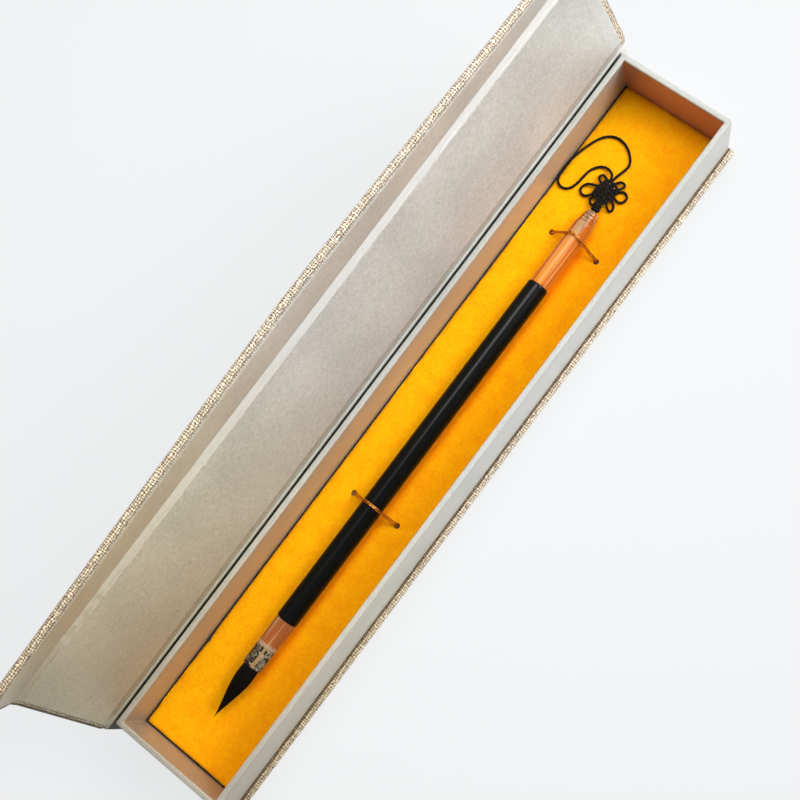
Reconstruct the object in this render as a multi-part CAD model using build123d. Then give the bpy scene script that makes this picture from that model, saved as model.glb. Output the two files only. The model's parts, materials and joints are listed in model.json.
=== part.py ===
from build123d import *
import math
import os

# A long, narrow presentation box for one calligraphy brush. A board tray stands in a wrap-around
# cloth case (base, spine, lid and flap); the brush lies on a flocked pad, held by two thread ties.
# Millimetres. Origin at the middle of the underside, +X along the box towards the brush's hanging
# loop, +Y towards the spine, +Z up. The lid and flap are drawn shut, then turned to where they stand.

# materials
BOARD_T = 2.0          # grey board of the case panels
LINEN_T = 0.4          # cloth on the outside of the case
LINING_T = 0.2         # pearl paper inside the lid and flap
WRAP_T = 0.2           # pearl paper on the tray
TRAY_BOARD_T = 1.9     # board of the tray's walls
FLOOR_T = 1.5          # board of the tray's floor

# tray
TRAY_L = 330.0
TRAY_W = 52.0
TRAY_H = 28.0
RIM_TURN_IN = 8.0      # wrap folded over the rim and down inside

# case
BASE_LIP = 2.95        # how far the base stands out in front of the tray
BASE_TURN_IN = 12.0    # cloth turned in on top of the base, under the tray
CASE_OVERHANG = 3.8    # how far lid, flap and spine run past the tray at each end
NEAR_TURN_IN = 1.1     # cloth left bare inside, at the -X end of a panel
FAR_TURN_IN = 3.0      # the same at the +X end, where the lining was laid off centre
EDGE_TURN_IN = 2.2     # the same along the flap's free edge
SPINE_FOOT = 1.0       # height of the spine board's lower edge
SPINE_H = 32.0
FOOT_BEND = 0.7        # bevel of the cloth where it turns up from the base to the spine
SPINE_LEAN = 2.2       # degrees; the spine stands off the tray at its top
GLUE_GAP = 0.02
LID_W = 50.0
LID_CLEAR = 0.15       # lining above the rim when shut
LID_OVERHANG = 0.4     # lid's back edge beyond the tray's back when shut
LID_OPEN = 108.0       # degrees from shut, as the box stands
FLAP_H = 26.0
FLAP_BOARD_T = 2.5     # thicker than the other boards, to hold the magnets
FLAP_CLEAR = 0.35      # lining off the front wall when shut
FLAP_FOOT = 0.4        # flap's free edge above the base when shut
FLAP_OPEN = 58.8       # degrees from shut, as the box stands
LID_AXIS_Y = 2.98      # hinge axes, behind or in front of the tray and above its rim
LID_AXIS_Z = 2.97
FLAP_AXIS_Y = 1.17
FLAP_AXIS_Z = 0.81

# closing magnets
MAGNET_D = 8.0
MAGNET_T = 1.0
MAGNET_X = 110.0
MAGNET_Z = 12.0        # below the rim
MAGNET_FIT = 0.05

# pad
PAD_CLEAR = 0.6
FOAM_T = 2.1
FLOCK_T = 0.4
HOLE_D = 2.2
CHANNEL_W = 2.8
CHANNEL_H = 1.3

# brush, along X
BRUSH_Y = 0.8
BRUSH_CLEAR = 0.1
HANDLE_D = 9.2
HANDLE_MID = -11.7
HANDLE_L = 168.0
HANDLE_EDGE = 0.9
SPIGOT_D = 5.0
SPIGOT_L = 6.0
SPIGOT_FIT = 0.05
FERRULE_D = 8.8
FERRULE_MOUTH_D = 8.4
FERRULE_L = 22.3
MOUTH_EDGE = 0.2
SOCKET_D = 6.9
SOCKET_L = 9.4
ROOT_FIT = 0.05
HAIR_D = 7.0
HAIR_L = 24.8
HAIR_BELLY = 0.22      # share of the hair's length where it is fullest
CAP_D = 8.2
CAP_L = 37.2
CAP_TAPER_L = 7.6
CAP_TIP_D = 5.4
CAP_TIP_EDGE = 1.1
CAP_GROOVES = 3
CAP_GROOVE_PITCH = 1.55
CAP_GROOVE_END = 2.3   # from the last groove to the cap's end
CAP_GROOVE_W = 0.6
CAP_GROOVE_DEPTH = 0.3
CAP_BORE_D = 3.0
CAP_BORE_L = 2.5

# ties
TIE_D = 0.6
TIE_SPREAD = 0.45      # half the distance between a tie's two strands
TIE_CLEAR = 0.12
TIE_BEND = 0.7
TIE_ON_CAP = 22.2      # from the handle's end to the upper tie
TIE_ON_HANDLE = 56.6   # from the handle's other end to the lower tie
UPPER_HOLES = (11.1, -11.1)
LOWER_HOLES = (11.4, -10.9)
TIE_KNOT = (2.2, 2.4, 1.1)

# cord, knot and hanging loop
CORD_D = 1.1
CORD_SIDES = 8         # cord and thread are drawn eight-sided, round enough at their size
LIFT = 0.1             # cord and knot above the pad
KNOT_ALONG = 10.6      # the knot's middle, from the cap's end and from the brush's axis
KNOT_ACROSS = 1.9
KNOT_SIZE = (10.2, 8.6, 3.2)
KNOT_TURN = -12.0
KNOT_EDGE = 1.3

BASE_TOP = BOARD_T + 2 * LINEN_T
RIM_Z = BASE_TOP + TRAY_H
WALL = TRAY_BOARD_T + 2 * WRAP_T
FLOOR_TOP = BASE_TOP + FLOOR_T
PAD_TOP = FLOOR_TOP + FOAM_T + FLOCK_T
PANEL_T = BOARD_T + LINEN_T + LINING_T
FLAP_T = FLAP_BOARD_T + LINEN_T + LINING_T
CASE_L = TRAY_L + 2 * CASE_OVERHANG
TRAY_BACK = TRAY_W / 2
TRAY_FRONT = -TRAY_W / 2
INNER_X = TRAY_L / 2 - WALL
INNER_Y = TRAY_W / 2 - WALL
LID_Z = RIM_Z + LID_CLEAR
LID_BACK = TRAY_BACK + LID_OVERHANG
LID_FRONT = LID_BACK - LID_W
FLAP_Y = TRAY_FRONT - FLAP_CLEAR
FLAP_LOW = BASE_TOP + FLAP_FOOT
LID_AXIS = (TRAY_BACK + LID_AXIS_Y, RIM_Z + LID_AXIS_Z)
FLAP_AXIS = (TRAY_FRONT - FLAP_AXIS_Y, RIM_Z + FLAP_AXIS_Z)
BRUSH_Z = PAD_TOP + BRUSH_CLEAR + HANDLE_D / 2
HANDLE_X = HANDLE_MID - HANDLE_L / 2
CAP_X = HANDLE_X + HANDLE_L
CAP_END = CAP_X + CAP_L
FERRULE_X = HANDLE_X - FERRULE_L
UPPER_TIE_X = CAP_X + TIE_ON_CAP
LOWER_TIE_X = HANDLE_X + TIE_ON_HANDLE
CORD_Z = PAD_TOP + LIFT + CORD_D / 2
KNOT_Z = PAD_TOP + LIFT + KNOT_SIZE[2] / 2

# Points of the cord, measured along X from the cap's end, across from the brush's axis, and up
# from where the cord lies on the pad.
LOOP_ROUTE = [
    (16.2, 2.6, 0.5),
    (19.9, 1.8, 0.6),
    (22.6, 1.0, 0.2),
    (25.4, 0.7, 0.0),
    (27.8, 2.0, 0.0),
    (30.6, 4.9, 0.1),
    (32.3, 8.6, 0.2),
    (32.4, 12.2, 0.2),
    (31.1, 15.1, 0.2),
    (28.5, 17.5, 0.3),
    (24.2, 19.3, 0.7),
    (19.6, 20.6, 1.1),
    (15.3, 21.6, 1.4),
    (11.1, 22.0, 1.0),
    (7.4, 22.1, 0.6),
    (4.9, 21.9, 0.3),
    (2.8, 20.0, 0.1),
    (2.5, 17.2, 0.0),
    (4.2, 14.9, 0.0),
    (7.7, 13.8, 0.0),
    (11.4, 13.5, 0.1),
    (15.0, 12.9, 0.2),
    (18.0, 10.9, 0.3),
    (19.5, 8.3, 0.5),
    (19.0, 5.5, 0.9),
    (17.7, 3.6, 1.5),
    (15.4, 2.8, 1.7),
]
EARS = [
    [(11.2, 5.1, 1.1), (10.2, 9.4, 0.8), (8.3, 11.3, 0.3), (5.5, 11.4, 0.0),
     (4.3, 8.7, 0.3), (6.0, 6.5, 0.8), (8.7, 4.6, 1.1)],
    [(12.6, 3.9, 1.2), (13.1, 7.0, 1.2), (14.4, 7.9, 1.0), (16.0, 7.4, 0.7),
     (16.0, 6.1, 1.0), (14.6, 3.5, 1.2)],
    [(8.3, 3.8, 0.9), (5.8, 5.5, 0.8), (4.2, 5.3, 0.7), (2.9, 3.7, 0.7),
     (3.6, 2.6, 0.8), (7.0, 2.3, 0.9)],
    [(8.4, 0.4, 1.0), (5.1, -2.6, 0.7), (4.7, -4.3, 0.1), (6.5, -4.8, 0.2),
     (8.2, -3.7, 0.5), (10.0, -1.3, 1.0)],
    [(11.2, -0.9, 1.0), (9.6, -4.0, 0.5), (10.7, -6.3, 0.2), (13.5, -6.9, 0.1),
     (14.9, -4.9, 0.0), (14.8, -3.4, 0.0), (12.5, -1.3, 0.3)],
    [(13.6, 1.9, 1.1), (16.8, 0.1, 0.9), (17.8, -1.4, 0.8), (17.3, -3.0, 1.0),
     (15.3, -3.2, 1.4), (12.7, -0.9, 1.8)],
]
NECK = [
    [(-2.2, 0.65, 4.1), (0.8, 0.75, 4.0), (2.9, 2.2, 3.2), (6.4, 3.3, 1.6)],
    [(-2.2, -0.65, 4.1), (0.5, -0.9, 4.0), (3.4, -2.0, 3.1), (6.8, -0.9, 1.6)],
]


def block(x0, x1, y0, y1, z0, z1):
    """A box between two corners."""
    centre = ((x0 + x1) / 2, (y0 + y1) / 2, (z0 + z1) / 2)
    return Pos(*centre) * Box(x1 - x0, y1 - y0, z1 - z0)


def turn_point(point, centre, degrees):
    """A (y, z) point turned about a centre, positive from +Y to +Z."""
    a = math.radians(degrees)
    dy = point[0] - centre[0]
    dz = point[1] - centre[1]
    y = centre[0] + dy * math.cos(a) - dz * math.sin(a)
    z = centre[1] + dy * math.sin(a) + dz * math.cos(a)
    return (y, z)


def turn_solid(solid, centre, degrees):
    """A solid turned about an axis along X through a (y, z) point."""
    return solid.rotate(Axis((0, centre[0], centre[1]), (1, 0, 0)), degrees)


def prism_x(points, x0, x1):
    """A (y, z) polygon drawn out along X."""
    face = make_face(Polyline(*[(x0, y, z) for y, z in points], close=True).edges())
    return extrude(face, amount=x1 - x0, dir=(1, 0, 0))


def rod_x(x0, x1, diameter, y, z):
    """A round rod along X."""
    rod = Cylinder(diameter / 2, x1 - x0, rotation=(0, 90, 0))
    return Pos((x0 + x1) / 2, y, z) * rod


def to_lid(solid):
    return turn_solid(solid, LID_AXIS, -LID_OPEN)


def to_flap(solid):
    return to_lid(turn_solid(solid, FLAP_AXIS, -FLAP_OPEN))


def save(node, shape):
    export_step(shape, f"parts/{node}.step")


# case ----------------------------------------------------------------------------------------


def base():
    """Base board and the cloth under it, round its edges and turned in on top."""
    x = TRAY_L / 2
    front = TRAY_FRONT - BASE_LIP
    back = TRAY_BACK
    board = block(-x + LINEN_T, x - LINEN_T, front + LINEN_T, back, LINEN_T, LINEN_T + BOARD_T)
    linen = block(-x, x, front, back, 0, BASE_TOP) - board
    bare_x = x - BASE_TURN_IN
    linen -= block(-bare_x, bare_x, front + BASE_TURN_IN, back, LINEN_T, BASE_TOP)
    save("base_board", board)
    save("base_linen", linen)


def spine():
    """Spine panel, glued low to the back wall and standing off it at the top."""
    x = CASE_L / 2
    y0 = TRAY_BACK + GLUE_GAP
    foot = (y0, SPINE_FOOT)
    y1 = y0 + LINING_T
    y2 = y1 + BOARD_T
    y3 = y2 + LINEN_T
    top = SPINE_FOOT + SPINE_H
    board = block(-x + LINEN_T, x - LINEN_T, y1, y2, SPINE_FOOT, top)
    linen = block(-x, x, y1, y3, SPINE_FOOT, top) - board
    lining = block(-x, x, y0, y1, SPINE_FOOT, top)
    for node, solid in (("spine_board", board), ("spine_linen", linen), ("spine_lining", lining)):
        save(node, turn_solid(solid, foot, -SPINE_LEAN))
    out = turn_point((y3, SPINE_FOOT), foot, -SPINE_LEAN)
    inner = turn_point((y2, SPINE_FOOT), foot, -SPINE_LEAN)
    strip = [(TRAY_BACK, 0), (out[0] - FOOT_BEND, 0), out, inner]
    strip += [(inner[0] - FOOT_BEND, LINEN_T), (TRAY_BACK, LINEN_T)]
    save("spine_foot_linen", prism_x(strip, -TRAY_L / 2, TRAY_L / 2))
    top_in = turn_point((y0, top), foot, -SPINE_LEAN)
    top_out = turn_point((y3, top), foot, -SPINE_LEAN)
    return top_in, top_out


def lid():
    """Lid panel: board, cloth outside and round its ends, pearl lining inside."""
    x = CASE_L / 2
    z1 = LID_Z + LINING_T
    z2 = z1 + BOARD_T
    z3 = z2 + LINEN_T
    board = block(-x + LINEN_T, x - LINEN_T, LID_FRONT, LID_BACK, z1, z2)
    lining = block(-x + NEAR_TURN_IN, x - FAR_TURN_IN, LID_FRONT, LID_BACK, LID_Z, z1)
    linen = block(-x, x, LID_FRONT, LID_BACK, z1 - LINEN_T, z3) - board
    bare = block(-x + NEAR_TURN_IN, x - FAR_TURN_IN, LID_FRONT, LID_BACK, z1 - LINEN_T, z1)
    linen -= bare
    save("lid_board", to_lid(board))
    save("lid_linen", to_lid(linen))
    save("lid_lining", to_lid(lining))


def flap():
    """Flap panel, with two disc magnets let into its board behind the lining."""
    x = CASE_L / 2
    y1 = FLAP_Y - LINING_T
    y2 = y1 - FLAP_BOARD_T
    y3 = y2 - LINEN_T
    top = FLAP_LOW + FLAP_H
    inside = block(-x + NEAR_TURN_IN, x - NEAR_TURN_IN, y1, y1 + LINEN_T, FLAP_LOW + EDGE_TURN_IN, top)
    board = block(-x + LINEN_T, x - LINEN_T, y2, y1, FLAP_LOW + LINEN_T, top)
    linen = block(-x, x, y3, y1 + LINEN_T, FLAP_LOW, top) - board - inside
    lining = block(-x + NEAR_TURN_IN, x - NEAR_TURN_IN, y1, FLAP_Y, FLAP_LOW + EDGE_TURN_IN, top)
    board -= magnets(y1 - MAGNET_T, y1, MAGNET_FIT)
    save("flap_board", to_flap(board))
    save("flap_linen", to_flap(linen))
    save("flap_lining", to_flap(lining))
    save("flap_magnets", to_flap(magnets(y1 - MAGNET_T, y1, 0)))


def magnets(y0, y1, fit):
    """Two discs on the front, a fit larger where they cut their pockets."""
    disc = Cylinder(MAGNET_D / 2 + fit, y1 - y0, rotation=(90, 0, 0))
    places = [Pos(x, (y0 + y1) / 2, RIM_Z - MAGNET_Z) for x in (-MAGNET_X, MAGNET_X)]
    return Compound([place * disc for place in places])


def step_to(point, other, length):
    """The (y, z) point a length along the way from one point to another."""
    share = length / math.dist(point, other)
    return (point[0] + (other[0] - point[0]) * share, point[1] + (other[1] - point[1]) * share)


def hinge_strip(face_a, behind_a, face_b, behind_b, thick):
    """A layer between two panel edges, from one face of the panels into their thickness."""
    points = [face_a, face_b, step_to(face_b, behind_b, thick), step_to(face_a, behind_a, thick)]
    return prism_x(points, -CASE_L / 2, CASE_L / 2)


def hinges(spine_in, spine_out):
    """Cloth and paper that run on over the joints between spine, lid and flap."""
    outer = LID_Z + PANEL_T
    back_in = turn_point((LID_BACK, LID_Z), LID_AXIS, -LID_OPEN)
    back_out = turn_point((LID_BACK, outer), LID_AXIS, -LID_OPEN)
    front_in = turn_point((LID_FRONT, LID_Z), LID_AXIS, -LID_OPEN)
    front_out = turn_point((LID_FRONT, outer), LID_AXIS, -LID_OPEN)
    flap_top = FLAP_LOW + FLAP_H
    flap_in = turn_point((FLAP_Y, flap_top), FLAP_AXIS, -FLAP_OPEN)
    flap_out = turn_point((FLAP_Y - FLAP_T, flap_top), FLAP_AXIS, -FLAP_OPEN)
    flap_in = turn_point(flap_in, LID_AXIS, -LID_OPEN)
    flap_out = turn_point(flap_out, LID_AXIS, -LID_OPEN)
    save("lid_hinge_linen", hinge_strip(spine_out, spine_in, back_out, back_in, LINEN_T))
    save("lid_hinge_lining", hinge_strip(spine_in, spine_out, back_in, back_out, LINING_T))
    save("flap_hinge_linen", hinge_strip(front_out, front_in, flap_out, flap_in, LINEN_T))
    save("flap_hinge_lining", hinge_strip(front_in, front_out, flap_in, flap_out, LINING_T))


# tray ----------------------------------------------------------------------------------------


def tray():
    """Four wall boards round a floor board, with paper over the rim and a lining inside."""
    x = TRAY_L / 2 - WRAP_T
    y = TRAY_W / 2 - WRAP_T
    xi = x - TRAY_BOARD_T
    yi = y - TRAY_BOARD_T
    top = RIM_Z - WRAP_T
    front = block(-x, x, -y, -yi, BASE_TOP, top)
    face = -y
    front -= magnets(face, face + MAGNET_T, MAGNET_FIT)
    save("tray_front_wall", front)
    save("front_wall_magnets", magnets(face, face + MAGNET_T, 0))
    save("tray_back_wall", block(-x, x, yi, y, BASE_TOP, top))
    save("tray_left_wall", block(-x, -xi, -yi, yi, BASE_TOP, top))
    save("tray_right_wall", block(xi, x, -yi, yi, BASE_TOP, top))
    save("tray_floor", block(-xi, xi, -yi, yi, BASE_TOP, FLOOR_TOP))
    hollow = block(-INNER_X, INNER_X, -INNER_Y, INNER_Y, BASE_TOP, RIM_Z)
    boards = block(-x, x, -y, y, BASE_TOP, top) - block(-xi, xi, -yi, yi, BASE_TOP, top)
    below = block(-xi, xi, -yi, yi, BASE_TOP, RIM_Z - RIM_TURN_IN)
    wrap = block(-TRAY_L / 2, TRAY_L / 2, -TRAY_W / 2, TRAY_W / 2, BASE_TOP, RIM_Z)
    wrap = wrap - hollow - boards - below
    lining = block(-xi, xi, -yi, yi, FLOOR_TOP, RIM_Z - RIM_TURN_IN) - hollow
    save("tray_wrap", wrap)
    save("tray_lining", lining)


def tie_places():
    return [(UPPER_TIE_X, UPPER_HOLES), (LOWER_TIE_X, LOWER_HOLES)]


def pad():
    """Foam sheet with a flocked face, pierced for the ties and channelled under them."""
    x = INNER_X - PAD_CLEAR
    y = INNER_Y - PAD_CLEAR
    foam_top = FLOOR_TOP + FOAM_T
    foam = block(-x, x, -y, y, FLOOR_TOP, foam_top)
    flock = block(-x, x, -y, y, foam_top, PAD_TOP)
    for tie_x, holes in tie_places():
        for hole_y in holes:
            drill = Pos(tie_x, hole_y, FLOOR_TOP) * Cylinder(HOLE_D / 2, 4 * FOAM_T)
            foam -= drill
            flock -= drill
        half = CHANNEL_W / 2
        low = holes[1] - HOLE_D / 2
        high = holes[0] + HOLE_D / 2
        foam -= block(tie_x - half, tie_x + half, low, high, FLOOR_TOP, FLOOR_TOP + CHANNEL_H)
    save("pad_foam", foam)
    save("pad_flock", flock)


def tie(node, x, holes, rod_d):
    """Two strands over the brush, down through the pad and knotted in the channel below."""
    radius = rod_d / 2 + TIE_CLEAR + TIE_D / 2
    low = FLOOR_TOP + TIE_KNOT[2] / 2
    strands = []
    for strand_x in (x - TIE_SPREAD, x + TIE_SPREAD):
        legs = []
        ends = []
        for side, hole_y in zip((1, -1), holes):
            dy = hole_y - BRUSH_Y
            dz = PAD_TOP - BRUSH_Z
            reach = math.hypot(dy, dz)
            angle = math.atan2(dz, dy) + side * math.acos(radius / reach)
            touch = (strand_x, BRUSH_Y + radius * math.cos(angle), BRUSH_Z + radius * math.sin(angle))
            hole = (strand_x, hole_y, PAD_TOP)
            corner = (strand_x, hole_y, low)
            start = (strand_x, 0, low)
            legs.append(FilletPolyline(start, corner, hole, touch, radius=[TIE_BEND, TIE_BEND]))
            ends.append(touch)
        crown = (strand_x, BRUSH_Y, BRUSH_Z + radius)
        over = ThreePointArc(ends[0], crown, ends[1])
        path = Wire(legs[0].edges() + [over.edge()] + legs[1].edges())
        section = Plane((strand_x, 0, low), z_dir=(0, 1, 0)) * RegularPolygon(TIE_D / 2, CORD_SIDES)
        strands.append(sweep(section, path=path))
    knot = Pos(x, 0, low) * Box(*TIE_KNOT)
    knot = chamfer(knot.edges(), TIE_D / 3)
    save(node, strands[0] + strands[1] + knot)


# brush ---------------------------------------------------------------------------------------


def on_axis(x0, x1, diameter):
    return rod_x(x0, x1, diameter, BRUSH_Y, BRUSH_Z)


def handle():
    """Black handle rod, eased at both ends and bored for the spigots of ferrule and cap."""
    rod = on_axis(HANDLE_X, CAP_X, HANDLE_D)
    rod = fillet(rod.edges().filter_by(GeomType.CIRCLE), HANDLE_EDGE)
    bore = SPIGOT_D + 2 * SPIGOT_FIT
    depth = SPIGOT_L + SPIGOT_FIT
    rod -= on_axis(HANDLE_X, HANDLE_X + depth, bore)
    rod -= on_axis(CAP_X - depth, CAP_X, bore)
    save("brush_handle", rod)


def ferrule():
    """Clear ferrule: a socket for the hair in front, a spigot into the handle behind."""
    body = Cone(FERRULE_MOUTH_D / 2, FERRULE_D / 2, FERRULE_L, rotation=(0, 90, 0))
    body = Pos((FERRULE_X + HANDLE_X) / 2, BRUSH_Y, BRUSH_Z) * body
    body -= on_axis(FERRULE_X, FERRULE_X + SOCKET_L, SOCKET_D)
    mouth = body.faces().sort_by(Axis.X)[0].edges()
    body = chamfer(mouth, MOUTH_EDGE)
    save("ferrule", body + on_axis(HANDLE_X, HANDLE_X + SPIGOT_L, SPIGOT_D))


def hair():
    """Glued root of the hair in its socket, and the pointed tuft in front of it."""
    root_d = SOCKET_D - 2 * ROOT_FIT
    save("hair_root", on_axis(FERRULE_X + ROOT_FIT, FERRULE_X + SOCKET_L - ROOT_FIT, root_d))
    base = FERRULE_X + ROOT_FIT
    tip = base - HAIR_L
    belly = base - HAIR_L * HAIR_BELLY
    neck_r = root_d / 2
    side = Spline((base, 0, neck_r), (belly, 0, HAIR_D / 2), (tip, 0, 0.05),
                  tangents=[(-1, 0, 0.12), (-1, 0, -0.3)])
    shut = Polyline((tip, 0, 0.05), (tip, 0, 0), (base, 0, 0), (base, 0, neck_r))
    tuft = revolve(make_face([side.edge()] + shut.edges()), Axis.X)
    save("hair_tuft", Pos(0, BRUSH_Y, BRUSH_Z) * tuft)


def cap():
    """Clear cap: a spigot into the handle, a rounded taper with turned grooves, a cord hole."""
    taper = CAP_END - CAP_TAPER_L
    body = on_axis(CAP_X, taper, CAP_D)
    cone = Cone(CAP_D / 2, CAP_TIP_D / 2, CAP_TAPER_L, rotation=(0, 90, 0))
    body += Pos((taper + CAP_END) / 2, BRUSH_Y, BRUSH_Z) * cone
    rings = body.edges().filter_by(GeomType.CIRCLE).sort_by(Axis.X)
    body = fillet(rings[-1], CAP_TIP_EDGE)
    for i in range(CAP_GROOVES):
        back = CAP_GROOVE_END + i * CAP_GROOVE_PITCH
        diameter = CAP_TIP_D + (CAP_D - CAP_TIP_D) * back / CAP_TAPER_L
        x = CAP_END - back - CAP_GROOVE_W / 2
        ring = on_axis(x, x + CAP_GROOVE_W, CAP_D)
        body -= ring - on_axis(x, x + CAP_GROOVE_W, diameter - 2 * CAP_GROOVE_DEPTH)
    body -= on_axis(CAP_END - CAP_BORE_L, CAP_END, CAP_BORE_D)
    save("top_cap", body + on_axis(CAP_X - SPIGOT_L, CAP_X, SPIGOT_D))


# cord ----------------------------------------------------------------------------------------


def cord(name, route):
    """A length of cord through the points of a route: straight runs joined by arcs."""
    points = [(CAP_END + x, BRUSH_Y + y, CORD_Z + z) for x, y, z in route]
    face = RegularPolygon(CORD_D / 2, CORD_SIDES)
    radii = []
    for a, b, c in zip(points, points[1:], points[2:]):
        run = min(math.dist(a, b), math.dist(b, c))
        turn = (Vector(*b) - Vector(*a)).get_angle(Vector(*c) - Vector(*b))
        radii.append(0.45 * run / math.tan(math.radians(turn / 2)))
    path = FilletPolyline(*points, radius=radii)
    start = Plane(points[0], z_dir=Vector(*points[1]) - Vector(*points[0]))
    tube = sweep(start * face, path=path)
    length = sum(edge.length for edge in path.edges())
    print(name, "radii", [round(r, 1) for r in radii])
    print("   length", round(length, 1), "volume", round(tube.volume, 2), round(face.area * length, 2))
    return tube


def knot():
    """Flower knot: a flat body that the cord is worked into, with six ears around it."""
    place = (CAP_END + KNOT_ALONG, BRUSH_Y + KNOT_ACROSS, KNOT_Z)
    body = Pos(*place) * Rot(0, 0, KNOT_TURN) * Box(*KNOT_SIZE)
    body = fillet(body.edges(), KNOT_EDGE)
    for i, route in enumerate(EARS):
        body += cord(f"ear {i}", route)
    save("flower_knot", body)
    return body


def neck(body):
    """Two lengths of cord from the hole in the cap down into the knot."""
    strands = [cord(f"neck {i}", route) - body for i, route in enumerate(NECK)]
    save("neck_cord", Compound([part for strand in strands for part in strand.solids()]))


def loop(body):
    """Hanging loop, lying on the pad from the knot and back to it."""
    save("hanging_loop", cord("loop", LOOP_ROUTE) - body)


os.makedirs("parts", exist_ok=True)
base()
hinges(*spine())
lid()
flap()
tray()
pad()
tie("upper_tie", UPPER_TIE_X, UPPER_HOLES, CAP_D)
tie("lower_tie", LOWER_TIE_X, LOWER_HOLES, HANDLE_D)
handle()
ferrule()
hair()
cap()
knot_body = knot()
neck(knot_body)
loop(knot_body)
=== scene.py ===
# A presentation box for one calligraphy brush: a paper-covered board tray in a wrap-around linen
# case, open, with the brush tied on its flocked pad. Metres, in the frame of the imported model.
import json
import math
import random

import bmesh
import bpy
from mathutils import Matrix, Vector, noise


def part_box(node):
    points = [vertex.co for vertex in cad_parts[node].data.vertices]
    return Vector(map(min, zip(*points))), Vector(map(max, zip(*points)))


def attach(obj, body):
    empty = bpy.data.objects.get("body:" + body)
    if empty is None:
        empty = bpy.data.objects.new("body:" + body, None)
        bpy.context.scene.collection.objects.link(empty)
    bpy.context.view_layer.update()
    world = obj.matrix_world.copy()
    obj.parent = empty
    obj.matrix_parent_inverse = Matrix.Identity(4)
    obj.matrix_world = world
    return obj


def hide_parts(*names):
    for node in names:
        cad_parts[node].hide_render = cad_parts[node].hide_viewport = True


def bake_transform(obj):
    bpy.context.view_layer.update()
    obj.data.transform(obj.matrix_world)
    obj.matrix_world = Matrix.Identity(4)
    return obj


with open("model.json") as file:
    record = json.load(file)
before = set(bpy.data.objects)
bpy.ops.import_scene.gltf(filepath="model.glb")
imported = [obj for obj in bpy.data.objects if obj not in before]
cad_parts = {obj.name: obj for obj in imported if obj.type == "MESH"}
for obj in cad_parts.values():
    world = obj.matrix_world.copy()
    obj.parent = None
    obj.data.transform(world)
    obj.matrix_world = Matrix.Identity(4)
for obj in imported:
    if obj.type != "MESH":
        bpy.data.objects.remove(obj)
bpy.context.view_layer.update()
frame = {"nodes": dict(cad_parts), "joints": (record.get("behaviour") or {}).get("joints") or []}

# ---- Camera --------------------------------------------------------------------------------
# The box lies open on a white table. The camera looks almost straight down on it, turned so
# that the box runs up the picture from its near end.

MM = 0.001
LENS = 63.26
SENSOR = 36.0
CAMERA_PLACE = Vector((-26.462, -129.393, 558.96)) * MM
CAMERA_RIGHT = Vector((0.60204, -0.77824, -0.17856))
CAMERA_UP = Vector((0.79689, 0.57161, 0.19549))

camera_data = bpy.data.cameras.new("camera")
camera_data.lens = LENS
camera_data.sensor_width = SENSOR
camera_data.clip_start = 0.02
camera = bpy.data.objects.new("camera", camera_data)
bpy.context.scene.collection.objects.link(camera)
camera_back = CAMERA_RIGHT.cross(CAMERA_UP)
camera.matrix_world = Matrix.Translation(CAMERA_PLACE) @ Matrix(
    (CAMERA_RIGHT, CAMERA_UP, camera_back)).transposed().to_4x4()
bpy.context.scene.camera = camera
bpy.context.scene.view_settings.view_transform = "Standard"

# ---- Table and light -----------------------------------------------------------------------
# A white table top in a white room, under a large soft lamp beyond the far end of the box and a
# long narrow one overhead.

TABLE_SIZE = 6.0
TABLE_COLOUR = (0.740, 0.748, 0.758)
TABLE_GLOW = 0.84            # share of plain white in the table as it is seen
ROOM_COLOUR = (0.92, 0.93, 0.94)
ROOM_STRENGTH = 0.26


def material(name):
    """A new material, its node tree and its Principled shader."""
    made = bpy.data.materials.new(name)
    made.use_nodes = True
    tree = made.node_tree
    return made, tree, tree.nodes["Principled BSDF"]


def node(tree, kind, **values):
    """A shader node of a kind, with its settings and its unlinked inputs."""
    made = tree.nodes.new("ShaderNode" + kind)
    for key, value in values.items():
        if hasattr(made, key):
            setattr(made, key, value)
        else:
            made.inputs[key.replace("_", " ")].default_value = value
    return made


def plain(shader, colour, roughness, metallic=0.0, specular=0.5):
    """The values of a Principled shader that are the same all over."""
    shader.inputs["Base Color"].default_value = (*colour, 1)
    shader.inputs["Roughness"].default_value = roughness
    shader.inputs["Metallic"].default_value = metallic
    shader.inputs["Specular IOR Level"].default_value = specular


def mesh_object(name, points, faces, smooth=True):
    """A mesh in the scene, with its faces turned outwards."""
    mesh = bpy.data.meshes.new(name)
    mesh.from_pydata(points, [], faces)
    shape = bmesh.new()
    shape.from_mesh(mesh)
    bmesh.ops.recalc_face_normals(shape, faces=shape.faces)
    shape.to_mesh(mesh)
    shape.free()
    if smooth:
        mesh.shade_smooth()
    made = bpy.data.objects.new(name, mesh)
    bpy.context.scene.collection.objects.link(made)
    return made


def dress(piece, finish):
    """One material over a whole piece."""
    piece.data.materials.clear()
    piece.data.materials.append(finish)


def seen_rays(tree):
    """1 on rays from the camera, from a gloss or through glass, and 0 on other rays."""
    rays = tree.nodes.new("ShaderNodeLightPath")
    seen = rays.outputs["Is Camera Ray"]
    for kind in ("Is Glossy Ray", "Is Transmission Ray"):
        more = node(tree, "Math", operation="MAXIMUM")
        tree.links.new(seen, more.inputs[0])
        tree.links.new(rays.outputs[kind], more.inputs[1])
        seen = more.outputs[0]
    return seen


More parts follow.
